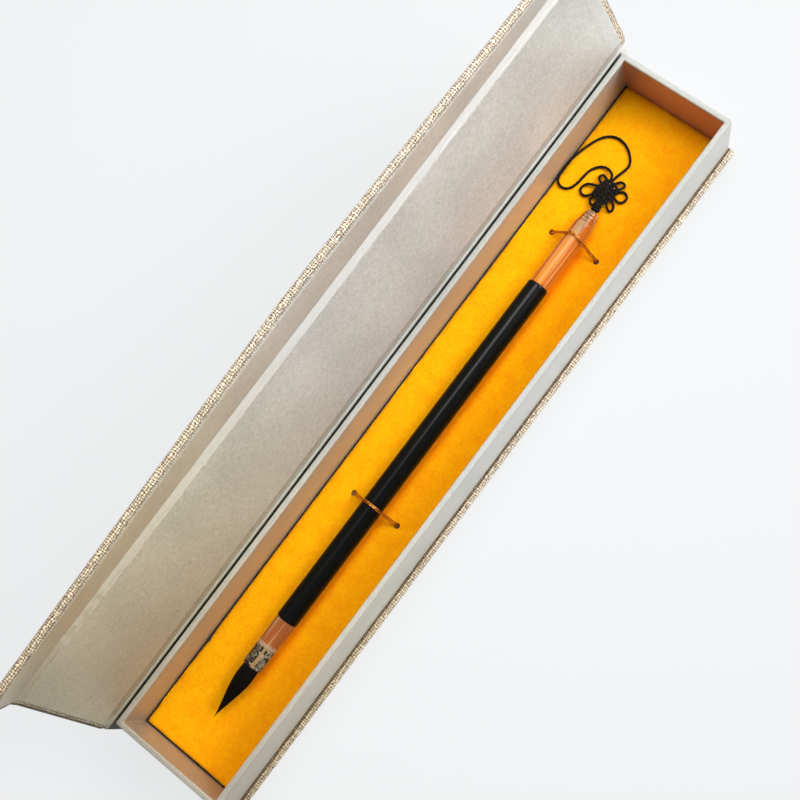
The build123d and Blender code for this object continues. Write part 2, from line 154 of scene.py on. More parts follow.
half = TABLE_SIZE / 2
table = mesh_object("table", [(-half, -half, 0), (half, -half, 0), (half, half, 0), (-half, half, 0)],
                    [(0, 1, 2, 3)], smooth=False)
table_finish, tree, shader = material("white_table")
plain(shader, TABLE_COLOUR, 0.9, specular=0.1)
glow = node(tree, "Emission", Color=(0.880, 0.890, 0.900, 1))
share = node(tree, "Math", operation="MULTIPLY")
tree.links.new(seen_rays(tree), share.inputs[0])
share.inputs[1].default_value = TABLE_GLOW
lit_table = tree.nodes.new("ShaderNodeMixShader")
tree.links.new(share.outputs[0], lit_table.inputs[0])
tree.links.new(shader.outputs[0], lit_table.inputs[1])
tree.links.new(glow.outputs[0], lit_table.inputs[2])
tree.links.new(lit_table.outputs[0], tree.nodes["Material Output"].inputs["Surface"])
dress(table, table_finish)

world = bpy.data.worlds.new("room")
world.use_nodes = True
bpy.context.scene.world = world
tree = world.node_tree
way = node(tree, "TexCoord")
way_parts = node(tree, "SeparateXYZ")
ceiling = node(tree, "MapRange", interpolation_type="SMOOTHSTEP", From_Min=0.35, From_Max=0.75, To_Min=1.0,
               To_Max=ROOM_STRENGTH)
strength = node(tree, "Mix", data_type="FLOAT")
strength.inputs[2].default_value = ROOM_STRENGTH
tree.links.new(way.outputs["Generated"], way_parts.inputs[0])
tree.links.new(way_parts.outputs["Z"], ceiling.inputs["Value"])
tree.links.new(seen_rays(tree), strength.inputs[0])
tree.links.new(ceiling.outputs[0], strength.inputs[3])
background = tree.nodes["Background"]
background.inputs["Color"].default_value = (*ROOM_COLOUR, 1)
tree.links.new(strength.outputs[0], background.inputs["Strength"])


def window(name, place, size, watts, aim=(0, 0, 0.02), spread=180):
    """A soft rectangular lamp at a place, turned to the box."""
    lamp = bpy.data.lights.new(name, "AREA")
    lamp.shape = "RECTANGLE"
    lamp.size = size[0]
    lamp.size_y = size[1]
    lamp.energy = watts
    lamp.spread = math.radians(spread)
    made = bpy.data.objects.new(name, lamp)
    bpy.context.scene.collection.objects.link(made)
    made.location = place
    made.rotation_euler = (Vector(aim) - Vector(place)).to_track_quat("-Z", "Y").to_euler()


window("large_lamp", (0.50, -0.36, 0.50), (0.55, 0.55), 1.3, aim=(0.11, 0, 0.03), spread=60)
window("high_lamp", (0.34, 0.22, 1.0), (0.50, 0.50), 1.7, aim=(0.06, 0, 0.03), spread=90)
window("narrow_lamp", (0.07, 0.08, 1.5), (0.78, 0.05), 0.65)

# ---- Cord: hanging loop, flower knot and neck ------------------------------------------------
# Round black braided cord, 1.1 mm. It leaves the cap in two strands, whipped together with three
# turns, is worked into a flat flower knot with six ears, and goes on as the loop. Route points
# are in mm, from the cap's end.

CORD_D = 1.1 * MM
CORD_LOW = 7.45 * MM         # the cord's middle where it lies on the pad
BRAID_SIDES = 16
BRAID_PITCH = 2.6 * MM
BRAID_RELIEF = 0.07
RING_STEP = 0.16 * MM
KNOT_STRANDS = 6
KNOT_SIZE = Vector((10.2, 8.6, 3.2)) * MM
KNOT_MIDDLE = Vector((10.6, 1.9, 1.05)) * MM
KNOT_TURN = -12.0

LOOP_ROUTE = [
    (16.2, 2.6, 0.5), (19.9, 1.8, 0.6), (22.6, 1.0, 0.2), (25.4, 0.7, 0.0), (27.8, 2.0, 0.0),
    (30.6, 4.9, 0.1), (32.3, 8.6, 0.2), (32.4, 12.2, 0.2), (31.1, 15.1, 0.2), (28.5, 17.5, 0.3),
    (24.2, 19.3, 0.7), (19.6, 20.6, 1.1), (15.3, 21.6, 1.4), (11.1, 22.0, 1.0), (7.4, 22.1, 0.6),
    (4.9, 21.9, 0.3), (2.8, 20.0, 0.1), (2.5, 17.2, 0.0), (4.2, 14.9, 0.0), (7.7, 13.8, 0.0),
    (11.4, 13.5, 0.1), (15.0, 12.9, 0.2), (18.0, 10.9, 0.3), (19.5, 8.3, 0.5), (19.0, 5.5, 0.9),
    (17.7, 3.6, 1.5), (15.4, 2.8, 1.7),
]
EARS = [
    [(11.2, 5.1, 1.1), (10.2, 9.4, 0.8), (8.3, 11.3, 0.3), (5.5, 11.4, 0.0),
     (4.3, 8.7, 0.3), (6.0, 6.5, 0.8), (8.7, 4.6, 1.1)],
    [(12.6, 3.9, 1.2), (13.1, 7.0, 1.2), (14.4, 7.9, 1.0), (16.0, 7.4, 0.7),
     (16.0, 6.1, 1.0), (14.6, 3.5, 1.2)],
    [(8.3, 3.8, 0.9), (5.8, 5.5, 0.8), (4.2, 5.3, 0.7), (2.9, 3.7, 0.7),
     (3.6, 2.6, 0.8), (7.0, 2.3, 0.9)],
    [(8.4, 0.4, 1.0), (5.1, -2.6, 0.7), (4.7, -4.3, 0.1), (6.5, -4.8, 0.2),
     (8.2, -3.7, 0.5), (10.0, -1.3, 1.0)],
    [(11.2, -0.9, 1.0), (9.6, -4.0, 0.5), (10.7, -6.3, 0.2), (13.5, -6.9, 0.1),
     (14.9, -4.9, 0.0), (14.8, -3.4, 0.0), (12.5, -1.3, 0.3)],
    [(13.6, 1.9, 1.1), (16.8, 0.1, 0.9), (17.8, -1.4, 0.8), (17.3, -3.0, 1.0),
     (15.3, -3.2, 1.4), (12.7, -0.9, 1.8)],
]
NECK = [
    [(-2.2, 0.65, 4.1), (0.8, 0.65, 4.0), (3.0, 1.2, 3.2), (6.4, 2.8, 1.6)],
    [(-2.2, -0.65, 4.1), (0.6, -0.6, 4.0), (3.3, 0.0, 3.1), (6.8, 0.6, 1.6)],
]
WHIPPING = ((1.1, 0.05, 3.95), (4.4, 1.0, 2.7))
WHIP_TURNS = 3
WHIP_STEPS = 72

cap_low, cap_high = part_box("top_cap")
CAP_END = cap_high.x
BRUSH_Y = (cap_low.y + cap_high.y) / 2
BRUSH_Z = (cap_low.z + cap_high.z) / 2


def cord_point(point):
    """A route's point, from the cap's end, the brush's axis and the cord's height on the pad."""
    return Vector((CAP_END, BRUSH_Y, CORD_LOW)) + Vector(point) * MM


def smooth_line(points, step):
    """Points at even steps along the NURBS curve that a row of control points gives."""
    curve = bpy.data.curves.new("line", "CURVE")
    curve.dimensions = "3D"
    curve.resolution_u = 16
    spline = curve.splines.new("NURBS")
    spline.points.add(len(points) - 1)
    for control, point in zip(spline.points, points):
        control.co = (*point, 1)
    spline.order_u = 3
    spline.use_endpoint_u = True
    holder = bpy.data.objects.new("line", curve)
    mesh = bpy.data.meshes.new_from_object(holder)
    line = [v.co.copy() for v in mesh.vertices]
    bpy.data.meshes.remove(mesh)
    bpy.data.objects.remove(holder)
    bpy.data.curves.remove(curve)
    return evenly(line, step)


def evenly(line, step):
    """The same line with its points one even step apart."""
    runs = [(b - a).length for a, b in zip(line, line[1:])]
    count = max(2, round(sum(runs) / step))
    spaced = [line[0].copy()]
    at = 0
    gone = 0.0
    for i in range(1, count):
        want = sum(runs) * i / count
        while gone + runs[at] < want:
            gone += runs[at]
            at += 1
        spaced.append(line[at].lerp(line[at + 1], (want - gone) / runs[at]))
    spaced.append(line[-1].copy())
    return spaced


def braid(turn, along):
    """Radius of a braided cord, as a share of its full one: two sets of strands that cross."""
    right = abs(math.sin(2 * turn + math.pi * along / BRAID_PITCH))
    left = abs(math.sin(2 * turn - math.pi * along / BRAID_PITCH))
    return 1 - BRAID_RELIEF * (1 - max(right, left))


def tube(line, diameter, sides, relief):
    """Points and faces of a closed tube along a line, its radius varied round and along it."""
    points = []
    faces = []
    side = Vector((0, 0, 1))
    gone = 0.0
    for i, place in enumerate(line):
        ahead = line[min(i + 1, len(line) - 1)] - line[max(i - 1, 0)]
        ahead.normalize()
        side = (side - ahead * side.dot(ahead)).normalized()
        across = ahead.cross(side)
        if i:
            gone += (place - line[i - 1]).length
        for k in range(sides):
            turn = 2 * math.pi * k / sides
            radius = diameter / 2 * relief(turn, gone)
            points.append(place + (side * math.cos(turn) + across * math.sin(turn)) * radius)
    for i in range(len(line) - 1):
        for k in range(sides):
            after = (k + 1) % sides
            faces.append((i * sides + k, i * sides + after,
                          (i + 1) * sides + after, (i + 1) * sides + k))
    last = (len(line) - 1) * sides
    faces.append(tuple(reversed(range(sides))))
    faces.append(tuple(range(last, last + sides)))
    return points, faces


def joined(name, parts):
    """One object of several meshes, each given as its points and faces."""
    points = []
    faces = []
    for more_points, more_faces in parts:
        faces += [tuple(len(points) + i for i in face) for face in more_faces]
        points += more_points
    return mesh_object(name, points, faces)


def tubes_object(name, lines, diameter, sides, relief):
    """One object of several tubes."""
    return joined(name, [tube(line, diameter, sides, relief) for line in lines])


def knot_lines():
    """Strands of the knot's body, woven over and under each other in two directions."""
    turn = Matrix.Rotation(math.radians(KNOT_TURN), 3, "Z")
    reach = KNOT_SIZE / 2 - Vector((1, 1, 1)) * CORD_D / 2
    lines = []
    for along, across in ((0, 1), (1, 0)):
        for i in range(KNOT_STRANDS):
            share = 2 * i / (KNOT_STRANDS - 1) - 1
            bulge = 1 - 0.18 * share * share
            controls = []
            for j in range(2 * KNOT_STRANDS + 1):
                way = j / KNOT_STRANDS - 1
                over = math.cos(math.pi * (j + i + across))
                place = Vector((0, 0, 0))
                place[along] = reach[along] * way * bulge
                place[across] = reach[across] * share * (1 - 0.12 * way * way)
                crown = 1 - 0.45 * max(abs(way), abs(share)) ** 3
                place.z = (0.42 + 0.3 * over) * reach.z * crown
                controls.append(cord_point((0, 0, 0)) + KNOT_MIDDLE + turn @ place)
            lines.append(smooth_line(controls, RING_STEP * 1.5))
    return lines


def noise_over(tree, scale, detail, stretch=1.0, **values):
    """Noise over the object, drawn out along the box where stretch is under 1."""
    made = node(tree, "TexNoise", Scale=scale, Detail=detail, **values)
    place = node(tree, "TexCoord").outputs["Object"]
    if stretch < 1:
        drawn = node(tree, "Mapping", Scale=(stretch, 1.0, 1.0))
        tree.links.new(place, drawn.inputs["Vector"])
        place = drawn.outputs["Vector"]
    tree.links.new(place, made.inputs["Vector"])
    return made.outputs["Fac"]


def toned(tree, value, *stops):
    """A colour ramp over a value: its two ends, then any stops between them, as (position, colour)."""
    made = node(tree, "ValToRGB")
    elements = made.color_ramp.elements
    for i, (position, colour) in enumerate(stops):
        stop = elements[i] if i < 2 else elements.new(position)
        stop.position = position
        stop.color = (*colour, 1)
    tree.links.new(value, made.inputs["Fac"])
    return made.outputs["Color"]


def raise_surface(tree, shader, height, distance, strength=1.0):
    """A Bump node between a height and a shader's normal."""
    rise = node(tree, "Bump", Strength=strength, Distance=distance)
    tree.links.new(height, rise.inputs["Height"])
    tree.links.new(rise.outputs["Normal"], shader.inputs["Normal"])


cord_finish, tree, shader = material("black_braided_cord")
plain(shader, (0.003, 0.0025, 0.0025), 0.60, specular=0.08)
shader.inputs["Sheen Weight"].default_value = 0.04
shader.inputs["Sheen Roughness"].default_value = 0.4
fuzz = noise_over(tree, 4200.0, 3.0)
tones = toned(tree, fuzz, (0.0, (0.004, 0.003, 0.003)), (1.0, (0.014, 0.012, 0.011)))
tree.links.new(tones, shader.inputs["Base Color"])
raise_surface(tree, shader, fuzz, 0.05 * MM, strength=0.5)

loop_line = smooth_line([cord_point(p) for p in LOOP_ROUTE], RING_STEP)
loop_length = sum((b - a).length for a, b in zip(loop_line, loop_line[1:]))
hanging_loop = tubes_object("hanging_loop_cord", [loop_line], CORD_D, BRAID_SIDES, braid)
ear_lines = [smooth_line([cord_point(p) for p in ear], RING_STEP) for ear in EARS]
knot = tubes_object("flower_knot_cord", ear_lines + knot_lines(), CORD_D, BRAID_SIDES, braid)
neck_lines = [smooth_line([cord_point(p) for p in strand], RING_STEP) for strand in NECK]
whipping = []
for i in range(WHIP_STEPS + 1):
    share = i / WHIP_STEPS
    turn = 2 * math.pi * WHIP_TURNS * share
    middle = cord_point(WHIPPING[0]).lerp(cord_point(WHIPPING[1]), share)
    whipping.append(middle + Vector((0, 1.5 * math.cos(turn), 1.0 * math.sin(turn))) * MM)
neck_lines.append(smooth_line(whipping, RING_STEP))
neck = tubes_object("neck_cord_strands", neck_lines, CORD_D, BRAID_SIDES, braid)
for piece, cad_node in ((hanging_loop, "hanging_loop"), (knot, "flower_knot"), (neck, "neck_cord")):
    dress(piece, cord_finish)
    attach(piece, "brush")
    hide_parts(cad_node)
tuple(loop_line[0])

# ---- Case panels ---------------------------------------------------------------------------
# One sheet of coarse natural linen, glued over four grey boards (base, spine, lid, flap) and
# turned in round their edges, so that the cloth between the boards is the hinges. Lid and flap
# are lined with pearl paper, pressed down into the grooves between the boards.

PANEL_T = 2.6 * MM           # lining, board and linen together
LINEN_T = 0.4 * MM
LINING_T = 0.2 * MM
FLAP_BOARD_T = 2.5 * MM      # thicker, to hold the magnets
FLAP_T = FLAP_BOARD_T + LINEN_T + LINING_T
EDGE_ROUND = 0.9 * MM        # cloth pulled round a board's edge
NEAR_TURN_IN = 2.1 * MM      # cloth turned over the lining's edges, at the near end
FAR_TURN_IN = 3.0 * MM
EDGE_TURN_IN = 2.2 * MM
HEM = 9.0 * MM               # cloth turned in under the lining
BASE_HEM = 12.0 * MM
FLAP_BOW = 4.4 * MM          # how far the middle of the flap's free edge stands out
X_STEP = 3.0 * MM
LUMP_STEP = 0.6 * MM         # fine enough to show single threads along an edge
LUMP = 0.22                  # how deep the threads' lumps are, as a share of the edge's rounding
V_STEP = 2.0 * MM
FOOT_STEP = 0.3 * MM
THREAD = 1.05 * MM           # pitch of the linen's threads

joints = {joint["name"]: joint for joint in frame["joints"]}
LID_AXIS = Vector(joints["lid_hinge"]["pos_m"])
FLAP_AXIS = Vector(joints["flap_hinge"]["pos_m"])
LID_OPEN = math.radians(joints["lid_hinge"]["range_deg"][0])
FLAP_OPEN = math.radians(joints["flap_hinge"]["range_deg"][0])


def turned(point, axis, angle):
    """A point turned about an axis along X, positive from +Y to +Z."""
    return axis + Matrix.Rotation(angle, 3, "X") @ (point - axis)


def untilted(name, turns):
    """The box of a CAD node with its panel turned back until it is square to the frame."""
    points = [v.co.copy() for v in frame["nodes"][name].data.vertices]
    for axis, angle in turns:
        points = [turned(p, axis, angle) for p in points]
    low = Vector([min(p[k] for p in points) for k in range(3)])
    high = Vector([max(p[k] for p in points) for k in range(3)])
    return low, high


lid_low, lid_high = untilted("lid_board", [(LID_AXIS, -LID_OPEN)])
flap_low, flap_high = untilted("flap_board", [(FLAP_AXIS, -FLAP_OPEN), (LID_AXIS, -LID_OPEN)])
base_low, base_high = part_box("base_linen")
tray_low, tray_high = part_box("tray_wrap")
CASE_X = lid_high.x + LINEN_T
LID_W = lid_high.y - lid_low.y
FLAP_W = flap_high.z - flap_low.z + LINEN_T
BASE_W = base_high.y - base_low.y
SPINE_LEAN = math.radians(-2.2)
SPINE_FOOT = Vector((0, tray_high.y + 0.02 * MM, 1.0 * MM))
SPINE_H = 32.0 * MM


def spine_place(x, v, w):
    """A point of the spine: v up from its foot, w outwards from its lining."""
    return turned(SPINE_FOOT + Vector((x, w, v)), SPINE_FOOT, SPINE_LEAN)


def lid_place(x, v, w):
    """A point of the lid: v from its back edge to the front, w outwards from its lining."""
    shut = Vector((x, lid_high.y - v, lid_low.z - LINING_T + w))
    return turned(shut, LID_AXIS, LID_OPEN)


def flap_place(x, v, w):
    """A point of the flap, which bows outwards: v from its fold to the free edge."""
    fall = (3.7 if x < 0 else 4.7) * MM * (abs(x) / CASE_X) ** 1.2
    bow = (FLAP_BOW - fall) * (max(v, 0) / FLAP_W) ** 1.6
    shut = Vector((x, flap_high.y + LINING_T - w - bow, flap_high.z - v))
    return turned(turned(shut, LID_AXIS, LID_OPEN), FLAP_AXIS, FLAP_OPEN)


def base_place(x, v, w):
    """A point of the base: v from its front edge to the back, w down from its top."""
    return Vector((x, base_low.y + v, base_high.z - w))


def ripple(x, v, size, seed):
    """Even noise from -1 to 1, of a size, over a panel."""
    return noise.noise(Vector((x / size, v / size, seed)))


def ramp(value, low, high):
    """A smooth rise from 0 at low to 1 at high."""
    share = min(1.0, max(0.0, (value - low) / (high - low)))
    return share * share * (3 - 2 * share)


def lid_groove(x, v, length):
    """Depth of the lining between spine and lid, pushed into the joint."""
    return 0.05 * MM * ramp(v, 0, 1 * MM) * ramp(length - v, 0, 1 * MM)


def flap_groove(x, v, length):
    """Depth of the lining between lid and flap: a long slope and a steep step at the flap,
    shallower at the near end."""
    slope = 0.17 * MM + 1.15 * MM * v / (length - 0.45 * MM)
    return slope * ramp(length - v, 0, 0.45 * MM) * (0.2 + 0.8 * ramp(x, -0.160, -0.100))

def hinge_place(place_a, end_a, place_b, thick_b, groove, dip):
    """A place function for the cloth between two panels, and the joint's width across."""
    length = (place_b(0, 0, 0) - place_a(0, end_a, 0)).length

    def place(x, v, w):
        if v < 0:
            return place_a(x, end_a + v, w)
        if v > length:
            return place_b(x, v - length, w * thick_b / PANEL_T)
        inner = place_a(x, end_a, 0).lerp(place_b(x, 0, 0), v / length)
        outer = place_a(x, end_a, PANEL_T).lerp(place_b(x, 0, thick_b), v / length)
        outward = (outer - inner).normalized()
        inner += outward * groove(x, v, length)
        outer -= outward * dip * math.sin(math.pi * v / length) ** 2
        return inner.lerp(outer, w / PANEL_T)

    return place, length


lid_hinge_place, LID_HINGE_W = hinge_place(spine_place, SPINE_H, lid_place, PANEL_T, lid_groove,
                                           0.5 * MM)
flap_hinge_place, FLAP_HINGE_W = hinge_place(lid_place, LID_W, flap_place, FLAP_T, flap_groove,
                                             0.5 * MM)


def knots(low, high, step, round_low=0.0, round_high=0.0, extra=()):
    """Places along one side of a panel: even ones, and close ones round its rounded edges."""
    made = [low, high, *extra]
    for radius, edge, way in ((round_low, low, 1), (round_high, high, -1)):
        if radius:
            made += [edge + way * radius * (1 - math.tan(math.radians(a))) for a in (0, 15, 30)]
    inner_low = low + round_low
    inner_high = high - round_high
    count = max(1, round((inner_high - inner_low) / step))
    made += [inner_low + (inner_high - inner_low) * i / count for i in range(1, count)]
    made.sort()
    return [a for a, b in zip(made, made[1:] + [math.inf]) if b - a > 1e-6]


def wrapped(name, low, high, place, open_sides, hole, step=X_STEP):
    """Cloth round a board: a rounded box in (x, v, w), without its open sides and its hole. Where
    the steps are fine, the threads stand out in lumps along the edges."""
    ease = []
    for axis in range(3):
        ease.append([0.0 if (axis, side) in open_sides else EDGE_ROUND for side in (0, 1)])
    steps = (step, V_STEP, 1.0 * MM)
    extra = (hole[0], hole[1], ())
    lines = [knots(low[k], high[k], steps[k], *ease[k], extra=extra[k]) for k in range(3)]
    index = {}
    points = []
    faces = []
    threads = []

    def vertex(p):
        key = tuple(round(c * 1e7) for c in p)
        if key not in index:
            core = Vector([min(max(p[k], low[k] + ease[k][0]), high[k] - ease[k][1])
                           for k in range(3)])
            out = Vector(p) - core
            if out.length > 1e-9:
                out = out.normalized() * EDGE_ROUND
            if step < X_STEP and (ease[1][0] and p[1] < low[1] + EDGE_ROUND
                                  or ease[1][1] and p[1] > high[1] - EDGE_ROUND):
                lump = noise.noise(Vector(p) / (0.9 * MM))
                out *= 1 - LUMP * (0.5 + lump)
            index[key] = len(points)
            points.append(place(*(core + out)))
        return index[key]

    for axis in range(3):
        b, c = [k for k in range(3) if k != axis]
        for side, end in enumerate((low[axis], high[axis])):
            if (axis, side) in open_sides:
                continue
            for i in range(len(lines[b]) - 1):
                for j in range(len(lines[c]) - 1):
                    mid_b = (lines[b][i] + lines[b][i + 1]) / 2
                    mid_c = (lines[c][j] + lines[c][j + 1]) / 2
                    inside = hole[0][0] < mid_b < hole[0][1] and hole[1][0] < mid_c < hole[1][1]
                    if axis == 2 and side == 0 and inside:
                        continue
                    corners = []
                    for di, dj in ((0, 0), (1, 0), (1, 1), (0, 1)):
                        p = [0, 0, 0]
                        p[axis] = end
                        p[b] = lines[b][i + di]
                        p[c] = lines[c][j + dj]
                        corners.append(p)
                    if (axis == 1) != (side == 0):
                        corners.reverse()
                    faces.append(tuple(vertex(p) for p in corners))
                    for p in corners:
                        threads.append((p[0] if axis else p[2], p[1] if axis != 1 else p[2]))
    return skin(name, points, faces, threads, place)


def skin(name, points, faces, threads, place):
    """A cloth piece with its thread map, faces outwards, and its thickness laid on inside."""
    along = place(1 * MM, 5 * MM, MM) - place(0, 5 * MM, MM)
    across = place(0, 6 * MM, MM) - place(0, 5 * MM, MM)
    outward = place(0, 5 * MM, 2 * MM) - place(0, 5 * MM, MM)
    if along.cross(across).dot(outward) < 0:
        faces = [tuple(reversed(face)) for face in faces]
        start = 0
        for face in faces:
            stop = start + len(face)
            threads[start:stop] = threads[start:stop][::-1]
            start = stop
    mesh = bpy.data.meshes.new(name)
    mesh.from_pydata(points, [], faces)
    layer = mesh.uv_layers.new(name="threads")
    for corner, thread in zip(layer.data, threads):
        corner.uv = thread
    mesh.shade_smooth()
    made = bpy.data.objects.new(name, mesh)
    bpy.context.scene.collection.objects.link(made)
    thickness = made.modifiers.new("cloth", "SOLIDIFY")
    thickness.thickness = LINEN_T
    thickness.offset = -1
    thickness.use_even_offset = True
    return made


def slab(name, xs, vs, place, top, bottom):
    """A closed thin plate over a grid of a panel, between two surfaces w = top and bottom."""
    points = []
    faces = []
    nx = len(xs)
    nv = len(vs)
    for surface in (top, bottom):
        for x in xs:
            for v in vs:
                points.append(place(x, v, surface(x, v)))
    size = nx * nv
    for i in range(nx - 1):
        for j in range(nv - 1):
            a = i * nv + j
            faces.append((a, a + nv, a + nv + 1, a + 1))
            faces.append((size + a, size + a + 1, size + a + nv + 1, size + a + nv))
    rim = [i * nv for i in range(nx)] + [(nx - 1) * nv + j for j in range(1, nv)]
    rim += [i * nv + nv - 1 for i in range(nx - 2, -1, -1)] + [j for j in range(nv - 2, 0, -1)]
    for a, b in zip(rim, rim[1:] + rim[:1]):
        faces.append((a, a + size, b + size, b))
    return mesh_object(name, points, faces)


def group(name, inputs, outputs):
    """A new shader node group with its sockets; returns it with its two end nodes."""
    made = bpy.data.node_groups.new(name, "ShaderNodeTree")
    for label, kind, value in inputs:
        socket = made.interface.new_socket(label, in_out="INPUT", socket_type="NodeSocket" + kind)
        socket.default_value = value
    for label, kind in outputs:
        made.interface.new_socket(label, in_out="OUTPUT", socket_type="NodeSocket" + kind)
    return made, made.nodes.new("NodeGroupInput"), made.nodes.new("NodeGroupOutput")


def use_group(tree, which, **values):
    """A group placed in a material, with its inputs set by name."""
    made = tree.nodes.new("ShaderNodeGroup")
    made.node_tree = which
    for key, value in values.items():
        made.inputs[key.replace("_", " ")].default_value = value
    return made


def maths(tree, operation, *values):
    """A Math node; each value is a number or an output socket. Returns its output."""
    made = node(tree, "Math", operation=operation)
    for i, value in enumerate(values):
        if isinstance(value, (int, float)):
            made.inputs[i].default_value = value
        else:
            tree.links.new(value, made.inputs[i])
    return made.outputs[0]


def product(tree, *masks):
    """Masks multiplied together."""
    both = masks[0]
    for mask in masks[1:]:
        both = maths(tree, "MULTIPLY", both, mask)
    return both


def graded(tree, value, start, stop, **values):
    """A value spread out to run from 0 at one reading of it to 1 at another."""
    made = node(tree, "MapRange", From_Min=start, From_Max=stop, **values)
    tree.links.new(value, made.inputs["Value"])
    return made.outputs[0]


def place_along(tree, axis):
    """Where a point of the surface lies along an axis of the frame."""
    parts = node(tree, "SeparateXYZ")
    tree.links.new(node(tree, "TexCoord").outputs["Object"], parts.inputs[0])
    return parts.outputs[axis]


def between(tree, axis, start, stop, **values):
    """A mask that runs from 0 at one place along an axis to 1 at another."""
    return graded(tree, place_along(tree, axis), start, stop, **values)


def wandering(tree, value, uneven, amount):
    """A value moved up and down by noise."""
    return maths(tree, "MULTIPLY_ADD", maths(tree, "SUBTRACT", uneven, 0.5), amount, value)


def mixed(tree, share, first, second, blend="MIX"):
    """A second colour over a first by a share; each is a colour or an output socket."""
    made = node(tree, "Mix", data_type="RGBA", blend_type=blend)
    for socket, value in ((0, share), (6, first), (7, second)):
        if isinstance(value, tuple):
            made.inputs[socket].default_value = (*value, 1)
        else:
            tree.links.new(value, made.inputs[socket])
    return made.outputs[2]


def painted_end_shade(tree, colour, amount):
    """Painted shade: a colour made darker and yellower towards the near end of the box, where less light
    falls.
    """
    along = between(tree, "X", -0.165, -0.005)
    tones = toned(tree, along, (0.0, (0.72, 0.64, 0.48)), (1.0, (1.0, 1.0, 1.0)),
                  (0.19, (0.88, 0.78, 0.60)), (0.41, (0.97, 0.89, 0.70)), (0.66, (1.0, 0.96, 0.83)))
    return mixed(tree, amount, colour, tones, "MULTIPLY")


def tint_between(finish, tint, *spans):
    """A finish's colour multiplied by a tint where all its spans meet: (axis, start, stop) each."""
    tree = finish.node_tree
    socket = tree.nodes["Principled BSDF"].inputs["Base Color"]
    share = product(tree, *[between(tree, *span) for span in spans])
    tree.links.new(mixed(tree, share, socket.links[0].from_socket, tint, "MULTIPLY"), socket)


# painted shade on the linen's near end face and on the base beside the tray's front foot
NEAR_FACE_SHADE = (0.22, 0.22, 0.18)
FOOT_SHADE = (0.30, 0.24, 0.17)
# pale tone of the painted highlight on the lid's front edge and in the flap's joint
HIGHLIGHT_TONE = (0.74, 0.735, 0.705)


def linen_weave():
    """Plain weave of uneven threads, its colour and its height, with painted shade towards the near end,
    on the near end's face and on the base beside the tray's front foot."""
    made, given, out = group("linen_weave", [
        ("Pitch", "Float", THREAD), ("Light", "Color", (1, 1, 1, 1)), ("Dark", "Color", (0, 0, 0, 1)),
        ("Unevenness", "Float", 0.3), ("Dulled", "Float", 1.0)],
        [("Color", "Color"), ("Height", "Float")])
    given = given.outputs

    def sum_of(operation, *values):
        return maths(made, operation, *values)

    uv = node(made, "UVMap", uv_map="threads")
    slub = node(made, "TexNoise", Scale=420.0, Detail=2.0)
    parts = node(made, "SeparateXYZ")
    drift = node(made, "SeparateXYZ")
    made.links.new(uv.outputs[0], slub.inputs["Vector"])
    made.links.new(uv.outputs[0], parts.inputs[0])
    made.links.new(slub.outputs["Color"], drift.inputs[0])
    counts = []
    for k in range(2):
        shift = sum_of("MULTIPLY", sum_of("SUBTRACT", drift.outputs[k], 0.5), given["Unevenness"])
        counts.append(sum_of("ADD", sum_of("DIVIDE", parts.outputs[k], given["Pitch"]), shift))
    heights = []
    tones = []
    for k in range(2):
        whole = sum_of("FLOOR", counts[k])
        part = sum_of("SUBTRACT", sum_of("FRACT", counts[k]), 0.5)
        crown = sum_of("SUBTRACT", 1.0, sum_of("MULTIPLY", sum_of("MULTIPLY", part, part), 4.0))
        cross = sum_of("ADD", sum_of("SUBTRACT", counts[1 - k], 0.5), sum_of("ADD", whole, float(k)))
        wave = sum_of("COSINE", sum_of("MULTIPLY", cross, math.pi))
        over = sum_of("MULTIPLY_ADD", sum_of("MULTIPLY_ADD", wave, 0.5, 0.5), 0.75, 0.25)
        heights.append(sum_of("MULTIPLY", sum_of("SQRT", crown), over))
        tone = node(made, "TexWhiteNoise", noise_dimensions="1D")
        made.links.new(sum_of("ADD", whole, 100.5 + 37 * k), tone.inputs["W"])
        tones.append(tone.outputs["Value"])
    height = sum_of("MAXIMUM", *heights)
    tone = node(made, "Mix", data_type="FLOAT")
    made.links.new(sum_of("GREATER_THAN", *heights), tone.inputs[0])
    made.links.new(tones[1], tone.inputs[2])
    made.links.new(tones[0], tone.inputs[3])
    lit = graded(made, height, 0.44, 0.88)
    share = sum_of("MULTIPLY", sum_of("MULTIPLY_ADD", tone.outputs[0], 0.6, 0.55), lit)
    colour = mixed(made, share, given["Dark"], given["Light"])
    colour = painted_end_shade(made, colour, given["Dulled"])
    on_end = between(made, "X", -CASE_X + 1.9 * MM, -CASE_X + 1.1 * MM)
    colour = mixed(made, on_end, colour, NEAR_FACE_SHADE, "MULTIPLY")
    at_foot = product(made, between(made, "Y", tray_low.y - 1.5 * MM, tray_low.y - 0.5 * MM),
                      between(made, "Z", base_high.z - 0.5 * MM, base_high.z - 0.2 * MM),
                      between(made, "Z", base_high.z + 0.6 * MM, base_high.z + 0.3 * MM))
    colour = mixed(made, at_foot, colour, FOOT_SHADE, "MULTIPLY")
    made.links.new(colour, out.inputs["Color"])
    made.links.new(height, out.inputs["Height"])
    return made


